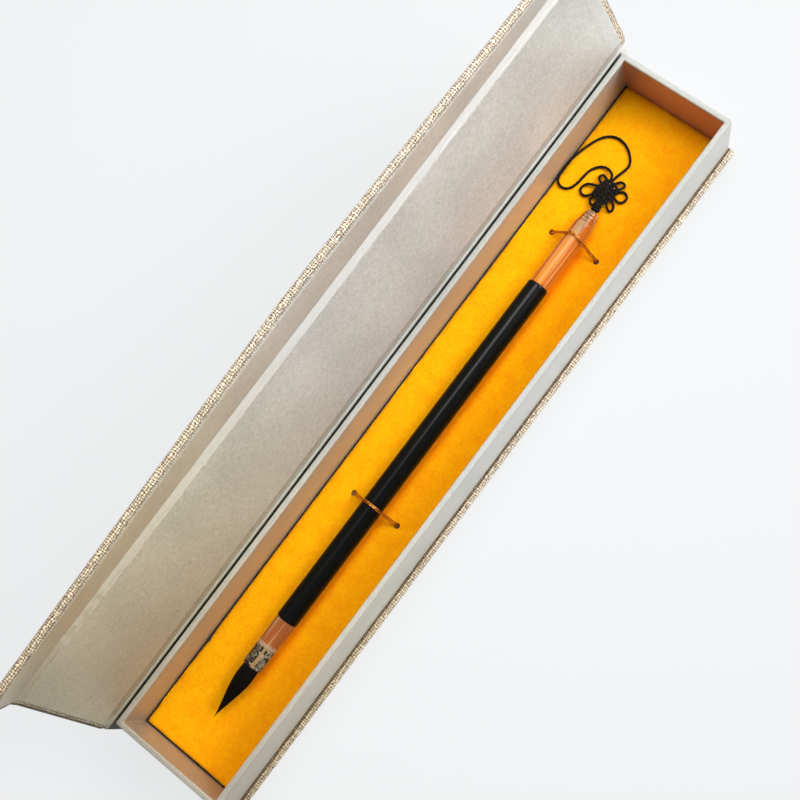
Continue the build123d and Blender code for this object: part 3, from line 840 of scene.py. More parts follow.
def paper_grain():
    """Pressed paper: two tones in soft clouds under a fine grain, its height and roughness, with a pale
    painted highlight that can be mixed in, and painted shade towards the near end.
    """
    made, given, out = group("paper_grain", [
        ("Light", "Color", (1, 1, 1, 1)), ("Dark", "Color", (0, 0, 0, 1)), ("Grain", "Float", 2200.0),
        ("Smoothness", "Float", 0.4), ("Highlight", "Float", 0.0), ("Dulled", "Float", 1.0)],
        [("Color", "Color"), ("Height", "Float"), ("Roughness", "Float")])
    given = given.outputs
    fine = noise_over(made, 1.0, 3.0, Distortion=1.2)
    made.links.new(given["Grain"], fine.node.inputs["Scale"])
    clouds = noise_over(made, 30.0, 2.0)
    both = maths(made, "MULTIPLY_ADD", fine, 0.6, maths(made, "MULTIPLY", clouds, 0.4))
    colour = mixed(made, graded(made, both, 0.36, 0.64), given["Dark"], given["Light"])
    colour = mixed(made, given["Highlight"], colour, HIGHLIGHT_TONE)
    made.links.new(painted_end_shade(made, colour, given["Dulled"]), out.inputs["Color"])
    made.links.new(fine, out.inputs["Height"])
    made.links.new(maths(made, "MULTIPLY_ADD", fine, 0.16, given["Smoothness"]), out.inputs["Roughness"])
    return made


WEAVE = linen_weave()
GRAIN = paper_grain()


def paper(name, light, dark, smooth, metallic, grain=1500.0, end_shade=1.0):
    """A pearl or plain paper finish."""
    made, tree, shader = material(name)
    plain(shader, light, smooth, metallic=metallic)
    body = use_group(tree, GRAIN, Light=(*light, 1), Dark=(*dark, 1), Grain=grain, Smoothness=smooth,
                     Dulled=end_shade)
    tree.links.new(body.outputs["Color"], shader.inputs["Base Color"])
    tree.links.new(body.outputs["Roughness"], shader.inputs["Roughness"])
    raise_surface(tree, shader, body.outputs["Height"], 0.04 * MM)
    return made


linen_finish, tree, shader = material("natural_linen")
plain(shader, (0.5, 0.4, 0.3), 0.85, specular=0.2)
shader.inputs["Sheen Weight"].default_value = 0.15
weave = use_group(tree, WEAVE, Pitch=THREAD, Light=(0.98, 0.86, 0.68, 1), Dark=(0.12, 0.062, 0.025, 1),
                  Unevenness=2.0, Dulled=0.5)
tree.links.new(weave.outputs["Color"], shader.inputs["Base Color"])
raise_surface(tree, shader, weave.outputs["Height"], 0.35 * MM)

PEARL = ((0.67, 0.665, 0.615), (0.49, 0.487, 0.445))
MATT_PEARL = ((0.66, 0.655, 0.605), (0.50, 0.497, 0.455))
pearl_lining = paper("pearl_lining_paper", *PEARL, 0.36, 0.35, grain=760.0)
lid_paper = paper("pearl_lid_lining_paper", *PEARL, 0.36, 0.35, grain=760.0)
# paper of the flap's joint, which carries the painted highlight
highlight_paper = paper("highlight_lining_paper", *MATT_PEARL, 0.5, 0.1)
spine_paper = paper("spine_lining_paper", *MATT_PEARL, 0.6, 0.1)
# painted shade: nearly black behind the tray, in the narrow gap where the spine stands against it
tint_between(spine_paper, (0.05, 0.05, 0.045), ("Z", tray_high.z + 0.3 * MM, tray_high.z - 2.0 * MM),
             ("X", tray_high.x + 0.6 * MM, tray_high.x - 0.2 * MM))
board_finish = paper("grey_board", (0.30, 0.28, 0.25), (0.16, 0.15, 0.13), 0.85, 0.0, grain=900.0)


def case_cloth(name, width, thick, place, open_sides, hole_v, step=X_STEP):
    """Linen round one board of the case, or round the joint between two boards."""
    hole = ((-CASE_X + HEM, CASE_X - HEM), hole_v)
    low = (-CASE_X, 0.0, 0.5 * LINING_T)
    piece = wrapped(name, low, (CASE_X, width, thick), place, open_sides, hole, step)
    dress(piece, linen_finish)
    return piece


both_folds = ((1, 0), (1, 1))
base_cloth = wrapped(
    "base_linen_cloth", (-base_high.x, 0.0, 0.0), (base_high.x, BASE_W, base_high.z - base_low.z),
    base_place, ((1, 1),), ((-base_high.x + BASE_HEM, base_high.x - BASE_HEM), (BASE_HEM, 1.0)), LUMP_STEP)
dress(base_cloth, linen_finish)
spine_cloth = case_cloth("spine_linen_cloth", SPINE_H, PANEL_T, spine_place, both_folds, (-1.0, 1.0))
lid_cloth = case_cloth("lid_linen_cloth", LID_W, PANEL_T, lid_place, both_folds, (-1.0, 1.0))
flap_cloth = case_cloth("flap_linen_cloth", FLAP_W, FLAP_T, flap_place, ((1, 0),),
                        (-1.0, FLAP_W - HEM), LUMP_STEP)
lid_hinge_cloth = case_cloth("lid_hinge_linen_cloth", LID_HINGE_W, PANEL_T, lid_hinge_place,
                             both_folds, (-1.0, 1.0))
flap_hinge_cloth = case_cloth("flap_hinge_linen_cloth", FLAP_HINGE_W, PANEL_T, flap_hinge_place,
                              both_folds, (-1.0, 1.0))

# where the cloth turns up from the base to the spine
foot_out = spine_place(0, 0, PANEL_T)
foot_line = [Vector((0, base_high.y, 0)), Vector((0, foot_out.y - 0.9 * MM, 0)),
             Vector((0, foot_out.y - 0.15 * MM, 0.15 * MM)), foot_out]
foot_line = smooth_line(foot_line, FOOT_STEP)
foot_points = []
foot_faces = []
foot_threads = []
foot_xs = knots(-base_high.x, base_high.x, X_STEP)
for x in foot_xs:
    foot_points += [p + Vector((x, 0, 0)) for p in foot_line]
n = len(foot_line)
for i in range(len(foot_xs) - 1):
    for j in range(n - 1):
        quad = ((i, j), (i + 1, j), (i + 1, j + 1), (i, j + 1))
        foot_faces.append(tuple(a * n + b for a, b in quad))
        foot_threads += [(foot_xs[a], b * FOOT_STEP) for a, b in quad]


def foot_place(x, v, w):
    """The foot cloth where it starts out flat: v to the back, w down."""
    return Vector((x, base_high.y + v, -w))


foot_cloth = skin("spine_foot_linen_cloth", foot_points, foot_faces, foot_threads, foot_place)
dress(foot_cloth, linen_finish)


HEM_RISE = 0.14 * MM         # how far the lining stands up over the turned-in cloth
LID_CREASE = 0.28 * MM
FLAP_CREASE = 0.25 * MM


def lining_top(x, v):
    """The lining stands up a little where cloth lies under it, and in a few soft creases."""
    hem = ramp(CASE_X - abs(x), HEM + 1.5 * MM, HEM - 0.5 * MM) * HEM_RISE
    soft = 0.05 * MM * ripple(x, v, 22 * MM, 3.1) + 0.02 * MM * ripple(x, v, 6 * MM, 8.4)
    return -hem - soft


def lid_lining_top(x, v):
    """The lid's lining, with a crease across its near end and its front edge rolled into the joint."""
    crease_x = -0.150 + 0.12 * (v - LID_W / 2)
    crease = LID_CREASE * math.exp(-((x - crease_x) / (2.6 * MM)) ** 2) * ramp(v, 0, 12 * MM)
    rubbed = ramp(v, LID_W - 2.4 * MM, LID_W - 1.0 * MM)
    roll = 0.17 * MM * max(0.0, v - LID_W + 1.8 * MM) / (1.8 * MM)
    return lining_top(x, v) - crease + roll - rubbed * crumple(x, v - LID_W)


def flap_lining_top(x, v):
    """The flap's lining, with a crease near its end and its free edge glued down under the cloth."""
    crease_x = -0.156 - 0.35 * v
    crease = FLAP_CREASE * math.exp(-((x - crease_x) / (2.0 * MM)) ** 2) * (1 - ramp(v, 0, 14 * MM))
    pressed = 0.05 * MM * ramp(v, FLAP_W - EDGE_TURN_IN - 2.2 * MM, FLAP_W - EDGE_TURN_IN)
    return lining_top(x, v) - crease + pressed


def lining_bottom(x, v):
    """The lining's back, flat on the board and the turned-in cloth."""
    return LINING_T


def crumple(x, v):
    """Fine creases of paper rubbed down with a bone: meandering ridges and short strokes."""
    bend = 1.2 * MM * ripple(x, v, 9 * MM, 6.6)
    ridge = abs(noise.noise(Vector(((x + bend) / (4.5 * MM), (v + bend) / (1.3 * MM), 2.0))))
    stroke = noise.noise(Vector((x / (0.8 * MM), v / (3.0 * MM), 7.0)))
    fade = 0.15 + 0.85 * ramp(x, -0.160, -0.110)
    return fade * MM * (0.20 * max(0.0, 1 - 5 * ridge) + 0.08 * stroke)


lining_xs = knots(-CASE_X + NEAR_TURN_IN, CASE_X - FAR_TURN_IN, 0.6 * MM)
lid_vs = knots(0, LID_W - 3 * MM, 1.6 * MM) + knots(LID_W - 2.7 * MM, LID_W, 0.3 * MM)
flap_xs = knots(-CASE_X + NEAR_TURN_IN, CASE_X - NEAR_TURN_IN, 1.6 * MM)
lid_lining = slab("lid_lining_paper", lining_xs, lid_vs, lid_place, lid_lining_top, lining_bottom)
flap_lining = slab("flap_lining_paper", flap_xs, knots(0, FLAP_W - EDGE_TURN_IN, 1.6 * MM),
                   flap_place, flap_lining_top, lining_bottom)
spine_lining = slab("spine_lining_paper", knots(-CASE_X, CASE_X, 6 * MM), knots(0, SPINE_H, 6 * MM),
                    spine_place, lambda x, v: 0.0, lining_bottom)
crease_xs = knots(-CASE_X + NEAR_TURN_IN, CASE_X - FAR_TURN_IN, 0.45 * MM)
lid_hinge_lining = slab("lid_hinge_lining_paper", crease_xs, knots(0, LID_HINGE_W, 0.3 * MM),
                        lid_hinge_place, lambda x, v: -0.1 * crumple(x, v), lining_bottom)
flap_hinge_lining = slab("flap_hinge_lining_paper", crease_xs, knots(0, FLAP_HINGE_W, 0.25 * MM),
                         flap_hinge_place, lambda x, v: -crumple(x, v), lining_bottom)
flap_board = slab("bowed_flap_board", knots(-CASE_X + LINEN_T, CASE_X - LINEN_T, 6 * MM),
                  knots(0, FLAP_W - LINEN_T, 3 * MM), flap_place,
                  lambda x, v: LINING_T, lambda x, v: LINING_T + FLAP_BOARD_T)
# the paper's front edge on the lid and the paper in the flap's joint, paler in patches: a painted
# highlight where the lid's edge and the crease catch the light
LID_WAY = (lid_place(0, LID_W, 0) - lid_place(0, 0, 0)).normalized()
LID_FRONT = LID_WAY.dot(lid_place(0, LID_W, 0))
for finish in (lid_paper, highlight_paper):
    tree = finish.node_tree
    reach = wandering(tree, place_along(tree, "X"), noise_over(tree, 260.0, 4.0), 0.16)
    share = graded(tree, reach, -0.142, -0.112)
    if finish is lid_paper:
        down_lid = node(tree, "VectorMath", operation="DOT_PRODUCT")
        tree.links.new(node(tree, "TexCoord").outputs["Object"], down_lid.inputs[0])
        down_lid.inputs[1].default_value = LID_WAY
        reach = wandering(tree, down_lid.outputs["Value"], noise_over(tree, 300.0, 5.0), 2.0 * MM)
        share = product(tree, share, graded(tree, reach, LID_FRONT - 1.75 * MM, LID_FRONT - 1.15 * MM))
    grain_of = next(n for n in tree.nodes if n.type == "GROUP")
    tree.links.new(share, grain_of.inputs["Highlight"])
for piece, finish in ((lid_lining, lid_paper), (flap_lining, pearl_lining), (spine_lining, spine_paper),
                      (lid_hinge_lining, pearl_lining), (flap_hinge_lining, highlight_paper)):
    dress(piece, finish)
dress(flap_board, board_finish)

for piece, body, cad_node in (
        (base_cloth, "root", "base_linen"), (foot_cloth, "root", "spine_foot_linen"),
        (spine_cloth, "root", "spine_linen"), (spine_lining, "root", "spine_lining"),
        (lid_cloth, "lid", "lid_linen"), (lid_lining, "lid", "lid_lining"),
        (flap_cloth, "flap", "flap_linen"), (flap_lining, "flap", "flap_lining"),
        (flap_board, "flap", "flap_board")):
    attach(piece, body)
    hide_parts(cad_node)
lid_fold = (spine_place(0, SPINE_H, PANEL_T / 2), lid_place(0, 0, PANEL_T / 2))
flap_fold = (lid_place(0, LID_W, PANEL_T / 2), flap_place(0, 0, PANEL_T / 2))
for piece, bodies, fold, cad_node in (
        (lid_hinge_cloth, ("root", "lid"), lid_fold, "lid_hinge_linen"),
        (lid_hinge_lining, ("root", "lid"), lid_fold, "lid_hinge_lining"),
        (flap_hinge_cloth, ("lid", "flap"), flap_fold, "flap_hinge_linen"),
        (flap_hinge_lining, ("lid", "flap"), flap_fold, "flap_hinge_lining")):
    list(bodies)
    tuple(fold[0])
    tuple(fold[1])
    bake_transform(piece)
    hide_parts(cad_node)

for name in ("base_board", "spine_board", "lid_board"):
    dress(frame["nodes"][name], board_finish)


# ---- Tray ----------------------------------------------------------------------------------
# A tray of grey board, glued up from four walls and a floor, with pale pearl paper wrapped over
# its rim and tucked at the corners, and a plainer paper lining inside, under the wrap's hem.

WRAP_T = 0.2 * MM
WALL = 2.3 * MM
RIM_ROUND = 0.5 * MM
OUTER_CORNER = 0.7 * MM
INNER_CORNER = 0.35 * MM
TUCK_REACH = 3.2 * MM        # how far the corner tucks' creases run from a corner
TUCK_RISE = 0.12 * MM

RIM_Z = tray_high.z
WRAP_HEM_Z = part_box("tray_lining")[1].z
TRAY_FOOT_Z = tray_low.z
FLOOR_TOP_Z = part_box("tray_floor")[1].z


def corner_creases(distance, across, seed):
    """Folded paper at a corner of the rim: creases that run out from it and fade."""
    fade = math.exp(-(distance / TUCK_REACH) ** 2)
    fold = noise.noise(Vector((distance / (0.5 * MM), across / (1.1 * MM), seed)))
    ridge = 1 - min(1.0, abs(noise.noise(Vector((distance / (1.3 * MM), seed, 4.4)))) * 5)
    return TUCK_RISE * fade * (0.8 * fold + 0.7 * ridge)


def wall_stations():
    """Places round the tray: (corner or middle, turn, share along a side, distance to a corner)."""
    stations = []
    near = [0.35, 0.7, 1.05, 1.4, 1.8, 2.2, 2.7, 3.3, 4.0, 5.0, 6.5, 8.5, 11.0]
    for side in range(4):
        length = (tray_high.x - tray_low.x, tray_high.y - tray_low.y)[side % 2] - 2 * OUTER_CORNER
        start = math.radians(-90 + 90 * side)
        for k in range(5):
            stations.append((side, start - math.radians(90 - 22.5 * k), 0.0, 0.0))
        marks = [d * MM for d in near] + [length - d * MM for d in near]
        count = round((length - 26 * MM) / (4 * MM))
        marks += [13 * MM + (length - 26 * MM) * i / count for i in range(count + 1)]
        for mark in sorted(marks):
            stations.append((side, start, mark / length, min(mark, length - mark)))
    return stations


def wall_point(station, depth, z):
    """A point of the walls, at a depth in from the outer face and a height."""
    side, turn, share = station[:3]
    radius = OUTER_CORNER + (INNER_CORNER - OUTER_CORNER) * depth / WALL
    inset = depth + radius
    corners = [Vector((tray_low.x + inset, tray_low.y + inset, z)),
               Vector((tray_high.x - inset, tray_low.y + inset, z)),
               Vector((tray_high.x - inset, tray_high.y - inset, z)),
               Vector((tray_low.x + inset, tray_high.y - inset, z))]
    centre = corners[side].lerp(corners[(side + 1) % 4], share)
    return centre + Vector((math.cos(turn), math.sin(turn), 0)) * radius


def wall_skin(name, profile, shift):
    """Paper all the way round the walls, along a closed profile of (depth, height) points."""
    points = []
    faces = []
    stations = wall_stations()
    n = len(profile)
    for station in stations:
        for depth, z in profile:
            d, dz = shift(station, depth, z)
            points.append(wall_point(station, depth + d, z + dz))
    for i in range(len(stations)):
        j = (i + 1) % len(stations)
        for k in range(n):
            m = (k + 1) % n
            faces.append((i * n + k, i * n + m, j * n + m, j * n + k))
    made = mesh_object(name, points, faces)
    made.data.set_sharp_from_angle(angle=math.radians(50))
    return made


def arc(centre, radius, start, stop, count):
    """Points of an arc in a (depth, height) profile, in degrees."""
    turns = [math.radians(start + (stop - start) * i / count) for i in range(count + 1)]
    return [(centre[0] + radius * math.cos(a), centre[1] + radius * math.sin(a)) for a in turns]


def wrap_shift(station, depth, z):
    """Creases at the rim's corners, and a slight unevenness of the glued paper elsewhere."""
    side, share, distance = station[0], station[2], station[3]
    seed = 10 + side + (2 if share > 0.5 else 0)
    crease = corner_creases(distance, depth, seed % 4 + 20.0)
    up = crease if z > RIM_Z - 1.2 * MM else 0.0
    out = -0.6 * crease * ramp(z, RIM_Z - 9 * MM, RIM_Z - 1 * MM) if depth < 0.1 * MM else 0.0
    wave = 0.04 * MM * noise.noise(Vector((share * 20, z / (9 * MM), side * 3.3)))
    if distance > 0 and depth < 0.1 * MM:
        out += wave * min(1.0, distance / (5 * MM))
    if depth > WALL / 2 and abs(z - HEM_TOP_Z) < 0.01 * MM:
        up = 0.35 * MM * noise.noise(Vector((distance / (2.2 * MM), seed, 0.5))) * min(1.0, distance / MM)
    return out, up


HEM_TOP_Z = RIM_Z - RIM_ROUND - 0.3 * MM
wall_steps = [RIM_Z - d * MM for d in (24, 20, 16, 12, 9, 6, 4, 2.5, 1.5)]
wrap_profile = [(0.0, TRAY_FOOT_Z)] + [(0.0, z) for z in wall_steps]
wrap_profile += arc((RIM_ROUND, RIM_Z - RIM_ROUND), RIM_ROUND, 180, 90, 4)
wrap_profile += [(WALL * share, RIM_Z) for share in (0.4, 0.5, 0.6)]
wrap_profile += arc((WALL - RIM_ROUND, RIM_Z - RIM_ROUND), RIM_ROUND, 90, 0, 4)
wrap_profile += [(WALL, HEM_TOP_Z), (WALL - WRAP_T, HEM_TOP_Z), (WALL - WRAP_T, RIM_Z - WRAP_T)]
wrap_profile += [(WRAP_T, RIM_Z - WRAP_T), (WRAP_T, TRAY_FOOT_Z)]
tray_wrap = wall_skin("tray_wrap_paper", wrap_profile, wrap_shift)
hem_profile = [(WALL, HEM_TOP_Z), (WALL, RIM_Z - 2.5 * MM), (WALL, RIM_Z - 5 * MM), (WALL, WRAP_HEM_Z)]
hem_profile += [(WALL - WRAP_T, WRAP_HEM_Z), (WALL - WRAP_T, HEM_TOP_Z)]
tray_wrap_hem = wall_skin("tray_wrap_hem", hem_profile, wrap_shift)

lining_low = FLOOR_TOP_Z
lining_profile = [(WALL - WRAP_T, lining_low), (WALL - WRAP_T, WRAP_HEM_Z)]
lining_profile += [(WALL, WRAP_HEM_Z - d * MM) for d in (0, 1, 4, 8, 12, 15)]
lining_profile += [(WALL, lining_low)]


def lining_shift(station, depth, z):
    """The lining is flat, but for a soft wave where the glue took unevenly."""
    wave = 0.03 * MM * noise.noise(Vector((station[2] * 14, z / (7 * MM), station[0] * 2.1)))
    return (wave * ramp(WRAP_HEM_Z - z, 0, 4 * MM) if depth == WALL else 0.0), 0.0


tray_lining = wall_skin("tray_lining_paper", lining_profile, lining_shift)

pearl_wrap = paper("pearl_wrap_paper", (0.56, 0.555, 0.525), (0.46, 0.455, 0.43), 0.52, 0.10,
                   end_shade=0.7)
wall_lining = paper("wall_lining_paper", (0.55, 0.515, 0.475), (0.475, 0.445, 0.405), 0.40, 0.6,
                    end_shade=0.5)
FAR_FACE = tray_high.x - WALL
PAD_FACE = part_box("pad_flock")[1].z
# painted shade with the pad's orange light painted in: redder on the far wall's inner face; painted shade:
# nearly black below the pad's face, and greyer on the far rim
tint_between(wall_lining, (1.0, 0.52, 0.40), ("X", FAR_FACE - 0.6 * MM, FAR_FACE - 0.2 * MM))
tint_between(wall_lining, (0.03, 0.018, 0.012), ("Z", PAD_FACE - 0.3 * MM, PAD_FACE - 1.5 * MM))
tint_between(pearl_wrap, (0.82, 0.83, 0.81), ("Z", RIM_Z - 0.6 * MM, RIM_Z - 0.2 * MM), ("X", -0.08, 0.10))
dress(tray_wrap, pearl_wrap)
dress(tray_wrap_hem, wall_lining)
dress(tray_lining, wall_lining)
for piece, cad_node in ((tray_wrap, "tray_wrap"), (tray_wrap_hem, "tray_wrap"),
                        (tray_lining, "tray_lining")):
    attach(piece, "root")
    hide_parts(cad_node)
for name in ("tray_floor", "tray_front_wall", "tray_back_wall", "tray_left_wall", "tray_right_wall"):
    dress(frame["nodes"][name], board_finish)

# ---- Closing magnets -----------------------------------------------------------------------
# Two nickelled discs behind the flap's lining, which draw it to two more in the front wall.

nickel, tree, shader = material("nickel_plate")
plain(shader, (0.62, 0.60, 0.56), 0.28, metallic=1.0)
raise_surface(tree, shader, noise_over(tree, 900.0, 4.0), 0.01 * MM)
dress(frame["nodes"]["front_wall_magnets"], nickel)

magnet_low, magnet_high = untilted("flap_magnets", [(FLAP_AXIS, -FLAP_OPEN), (LID_AXIS, -LID_OPEN)])
MAGNET_R = (magnet_high.z - magnet_low.z) / 2
MAGNET_X = magnet_high.x - MAGNET_R
MAGNET_T = magnet_high.y - magnet_low.y
MAGNET_V = flap_high.z - (magnet_high.z + magnet_low.z) / 2
MAGNET_SIDES = 48
magnet_points = []
magnet_faces = []
for x in (-MAGNET_X, MAGNET_X):
    first = len(magnet_points)
    # a chamfered disc: its two faces are a little smaller than its side
    for w, radius in ((0.0, 0.93), (0.08, 1.0), (0.92, 1.0), (1.0, 0.93)):
        for k in range(MAGNET_SIDES):
            turn = 2 * math.pi * k / MAGNET_SIDES
            place = flap_place(x, MAGNET_V, LINING_T + w * MAGNET_T)
            across = flap_place(x, MAGNET_V + MM, LINING_T + w * MAGNET_T) - place
            place += across / MM * math.sin(turn) * radius * MAGNET_R
            place.x += math.cos(turn) * radius * MAGNET_R
            magnet_points.append(place)
    for ring in range(3):
        for k in range(MAGNET_SIDES):
            a = first + ring * MAGNET_SIDES + k
            b = first + ring * MAGNET_SIDES + (k + 1) % MAGNET_SIDES
            magnet_faces.append((a, b, b + MAGNET_SIDES, a + MAGNET_SIDES))
    magnet_faces.append(tuple(range(first, first + MAGNET_SIDES)))
    last = first + 3 * MAGNET_SIDES
    magnet_faces.append(tuple(range(last, last + MAGNET_SIDES)))
flap_magnets = mesh_object("bowed_flap_magnets", magnet_points, magnet_faces, smooth=False)
dress(flap_magnets, nickel)
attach(flap_magnets, "flap")
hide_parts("flap_magnets")

# ---- Pad -----------------------------------------------------------------------------------
# A sheet of dyed foam cut with a knife to drop into the tray, its face flocked with short
# orange-yellow fibre. Four pierced holes take the ties, which draw the flock down round them.

HOLE_R = 1.25 * MM
HOLE_CELLS = 4               # cells each way that a hole's patch takes out of the grid
PAD_STEP = 1.2 * MM
PAD_EDGE = 0.35 * MM
FRAY_X = -0.1205             # where the cut edge is torn, along the back of the pad
FRAY_DEPTH = 1.4 * MM
DIMPLE = 0.55 * MM           # how far the ties draw the flock down
TIES = ("upper_tie", "lower_tie")

pad_low, pad_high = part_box("pad_flock")
foam_low, foam_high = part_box("pad_foam")
PAD_TOP = pad_high.z


def tie_hole(tie, side):
    """The hole that a tie goes down: at its box's end in Y, in from the strand's outer side."""
    low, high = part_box(tie)
    x = (low.x + high.x) / 2
    return (x, high.y - 0.3 * MM) if side > 0 else (x, low.y + 0.3 * MM)


HOLES = [tie_hole(tie, side) for tie in TIES for side in (1, -1)]


def pad_lift(x, y):
    """Height of the flock over its level: soft hollows, and dimples round the ties' holes."""
    lift = 0.10 * MM * noise.noise(Vector((x / 0.045, y / 0.022, 1.5)))
    lift += 0.012 * MM * noise.noise(Vector((x / 0.004, y / 0.004, 6.5)))
    for hole_x, hole_y in HOLES:
        away = math.hypot(x - hole_x, y - hole_y)
        lift -= DIMPLE * math.exp(-(away / (2.4 * MM)) ** 2)
    return lift


def hole_patch(hole, xs, ys):
    """Grid cells round a hole that its own ring of faces replaces: first and last of each."""
    i = min(range(len(xs)), key=lambda k: abs(xs[k] - hole[0])) - HOLE_CELLS // 2
    j = min(range(len(ys)), key=lambda k: abs(ys[k] - hole[1])) - HOLE_CELLS // 2
    return i, j


def pad_layer(name, low, high, lift, edge_noise):
    """A layer of the pad: a closed sheet with its four holes, its edge cut by hand."""
    xs = knots(low.x, high.x, PAD_STEP)
    ys = knots(low.y, high.y, PAD_STEP)
    patches = {}
    for hole in HOLES:
        patches[hole_patch(hole, xs, ys)] = hole
    gone = set()
    for i, j in patches:
        gone |= {(i + a, j + b) for a in range(HOLE_CELLS) for b in range(HOLE_CELLS)}
    points = []
    faces = []
    index = {}

    def vertex(x, y, top):
        key = (round(x * 1e7), round(y * 1e7), top)
        if key not in index:
            index[key] = len(points)
            inward = min(x - low.x, high.x - x, y - low.y, high.y - y)
            cut = edge_noise(x, y) * (1 - ramp(inward, 0, 1.5 * PAD_STEP))
            side_x = (x > high.x - 1e-6) - (x < low.x + 1e-6)
            side_y = (y > high.y - 1e-6) - (y < low.y + 1e-6)
            z = high.z + lift(x, y) - (PAD_EDGE if inward < 1e-6 else 0.0) if top else low.z
            points.append(Vector((x - side_x * cut, y - side_y * cut, z)))
        return index[key]

    for i in range(len(xs) - 1):
        for j in range(len(ys) - 1):
            if (i, j) in gone:
                continue
            quad = ((i, j), (i + 1, j), (i + 1, j + 1), (i, j + 1))
            faces.append(tuple(vertex(xs[a], ys[b], True) for a, b in quad))
            faces.append(tuple(vertex(xs[a], ys[b], False) for a, b in reversed(quad)))
    rim = [(x, ys[0]) for x in xs] + [(xs[-1], y) for y in ys[1:]]
    rim += [(x, ys[-1]) for x in reversed(xs[:-1])] + [(xs[0], y) for y in reversed(ys[1:-1])]
    for a, b in zip(rim, rim[1:] + rim[:1]):
        faces.append((vertex(*a, True), vertex(*a, False), vertex(*b, False), vertex(*b, True)))
    for (i, j), hole in patches.items():
        square = [(xs[i + a], ys[j]) for a in range(HOLE_CELLS)]
        square += [(xs[i + HOLE_CELLS], ys[j + b]) for b in range(HOLE_CELLS)]
        square += [(xs[i + HOLE_CELLS - a], ys[j + HOLE_CELLS]) for a in range(HOLE_CELLS)]
        square += [(xs[i], ys[j + HOLE_CELLS - b]) for b in range(HOLE_CELLS)]
        rings = []
        for share in (0.0, 0.45, 0.8, 1.0):
            ring = []
            for x, y in square:
                turn = math.atan2(y - hole[1], x - hole[0])
                on_circle = Vector((hole[0] + HOLE_R * math.cos(turn), hole[1] + HOLE_R * math.sin(turn)))
                ring.append(Vector((x, y)).lerp(on_circle, share))
            rings.append(ring)
        count = len(square)
        for top in (True, False):
            for inner, outer in zip(rings[1:], rings):
                for k in range(count):
                    m = (k + 1) % count
                    loop = (outer[k], outer[m], inner[m], inner[k])
                    faces.append(tuple(vertex(p.x, p.y, top) for p in loop))
        for k in range(count):
            a, b = rings[-1][k], rings[-1][(k + 1) % count]
            faces.append((vertex(a.x, a.y, True), vertex(b.x, b.y, True),
                          vertex(b.x, b.y, False), vertex(a.x, a.y, False)))
    return mesh_object(name, points, faces)


def knife_edge(x, y):
    """How far a cut edge wanders in: a hand-held knife, and a tear at one place at the back. The
    front and far edges are pressed against the walls."""
    if y < pad_high.y - 0.1 * MM and x > pad_low.x + 0.1 * MM:
        return -0.48 * MM + 0.06 * MM * noise.noise(Vector((x / 0.004, y / 0.004, 3.3)))
    wander = 0.18 * MM * (1 + noise.noise(Vector((x / 0.035, y / 0.02, 2.5))))
    wander += 0.10 * MM * noise.noise(Vector((x / 0.003, y / 0.003, 7.7)))
    torn = math.exp(-((x - FRAY_X) / (4 * MM)) ** 2) if y > 0 else 0.0
    return wander + FRAY_DEPTH * torn * abs(noise.noise(Vector((x / 0.0014, 0.5, 9.1))))


flock_pad = pad_layer("flocked_pad_face", pad_low, pad_high, pad_lift, knife_edge)
foam_pad = pad_layer("dyed_foam_pad", foam_low, foam_high, lambda x, y: 0.35 * pad_lift(x, y) - 0.1 * MM,
                     lambda x, y: knife_edge(x, y) + 0.12 * MM)

flock_finish, tree, shader = material("orange_flock")
plain(shader, (0.90, 0.42, 0.004), 1.0, specular=0.05)
shader.inputs["Sheen Weight"].default_value = 0.12
shader.inputs["Sheen Roughness"].default_value = 0.5
shader.inputs["Sheen Tint"].default_value = (1.0, 0.75, 0.25, 1)
nap = noise_over(tree, 1400.0, 6.0, Roughness=0.65, Distortion=0.6)
brushed = noise_over(tree, 160.0, 3.0)
tone = maths(tree, "MULTIPLY_ADD", nap, 0.75, maths(tree, "MULTIPLY", brushed, 0.25))
colour = toned(tree, tone, (0.36, (0.93, 0.27, 0.001)), (0.64, (1.0, 0.44, 0.002)))
# painted light: lighter towards the back, and a painted shadow along the front side of the brush
across = between(tree, "Y", -0.020, 0.018, interpolation_type="SMOOTHSTEP")
colour = mixed(tree, across, colour, (1.0, 1.14, 1.1), "MULTIPLY")
tree.links.new(colour, shader.inputs["Base Color"])
BRUSH_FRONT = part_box("brush_handle")[0].y
tint_between(flock_finish, (0.97, 0.66, 0.5), ("X", -0.132, -0.118), ("X", 0.106, 0.092),
             ("Y", BRUSH_FRONT - 3.5 * MM, BRUSH_FRONT - 0.5 * MM),
             ("Y", BRUSH_FRONT + 6.0 * MM, BRUSH_FRONT + 5.0 * MM))
raise_surface(tree, shader, nap, 0.12 * MM)
dress(flock_pad, flock_finish)

foam_finish, tree, shader = material("dyed_foam")
plain(shader, (0.80, 0.36, 0.01), 0.95, specular=0.1)
cells = node(tree, "TexVoronoi", Scale=3200.0)
tree.links.new(node(tree, "TexCoord").outputs["Object"], cells.inputs["Vector"])
depth = cells.outputs["Distance"]
tones = toned(tree, depth, (0.0, (0.88, 0.50, 0.06)), (1.0, (0.45, 0.16, 0.01)))
tree.links.new(tones, shader.inputs["Base Color"])
raise_surface(tree, shader, depth, 0.1 * MM)
dress(foam_pad, foam_finish)
for piece, cad_node in ((flock_pad, "pad_flock"), (foam_pad, "pad_foam")):
    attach(piece, "root")
    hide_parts(cad_node)


# ---- Ties ----------------------------------------------------------------------------------
# Two strands of copper-coloured lurex thread at each tie, twisted from two plies. They come up
# through the pad, cross the brush side by side, and are knotted in a channel under the foam.

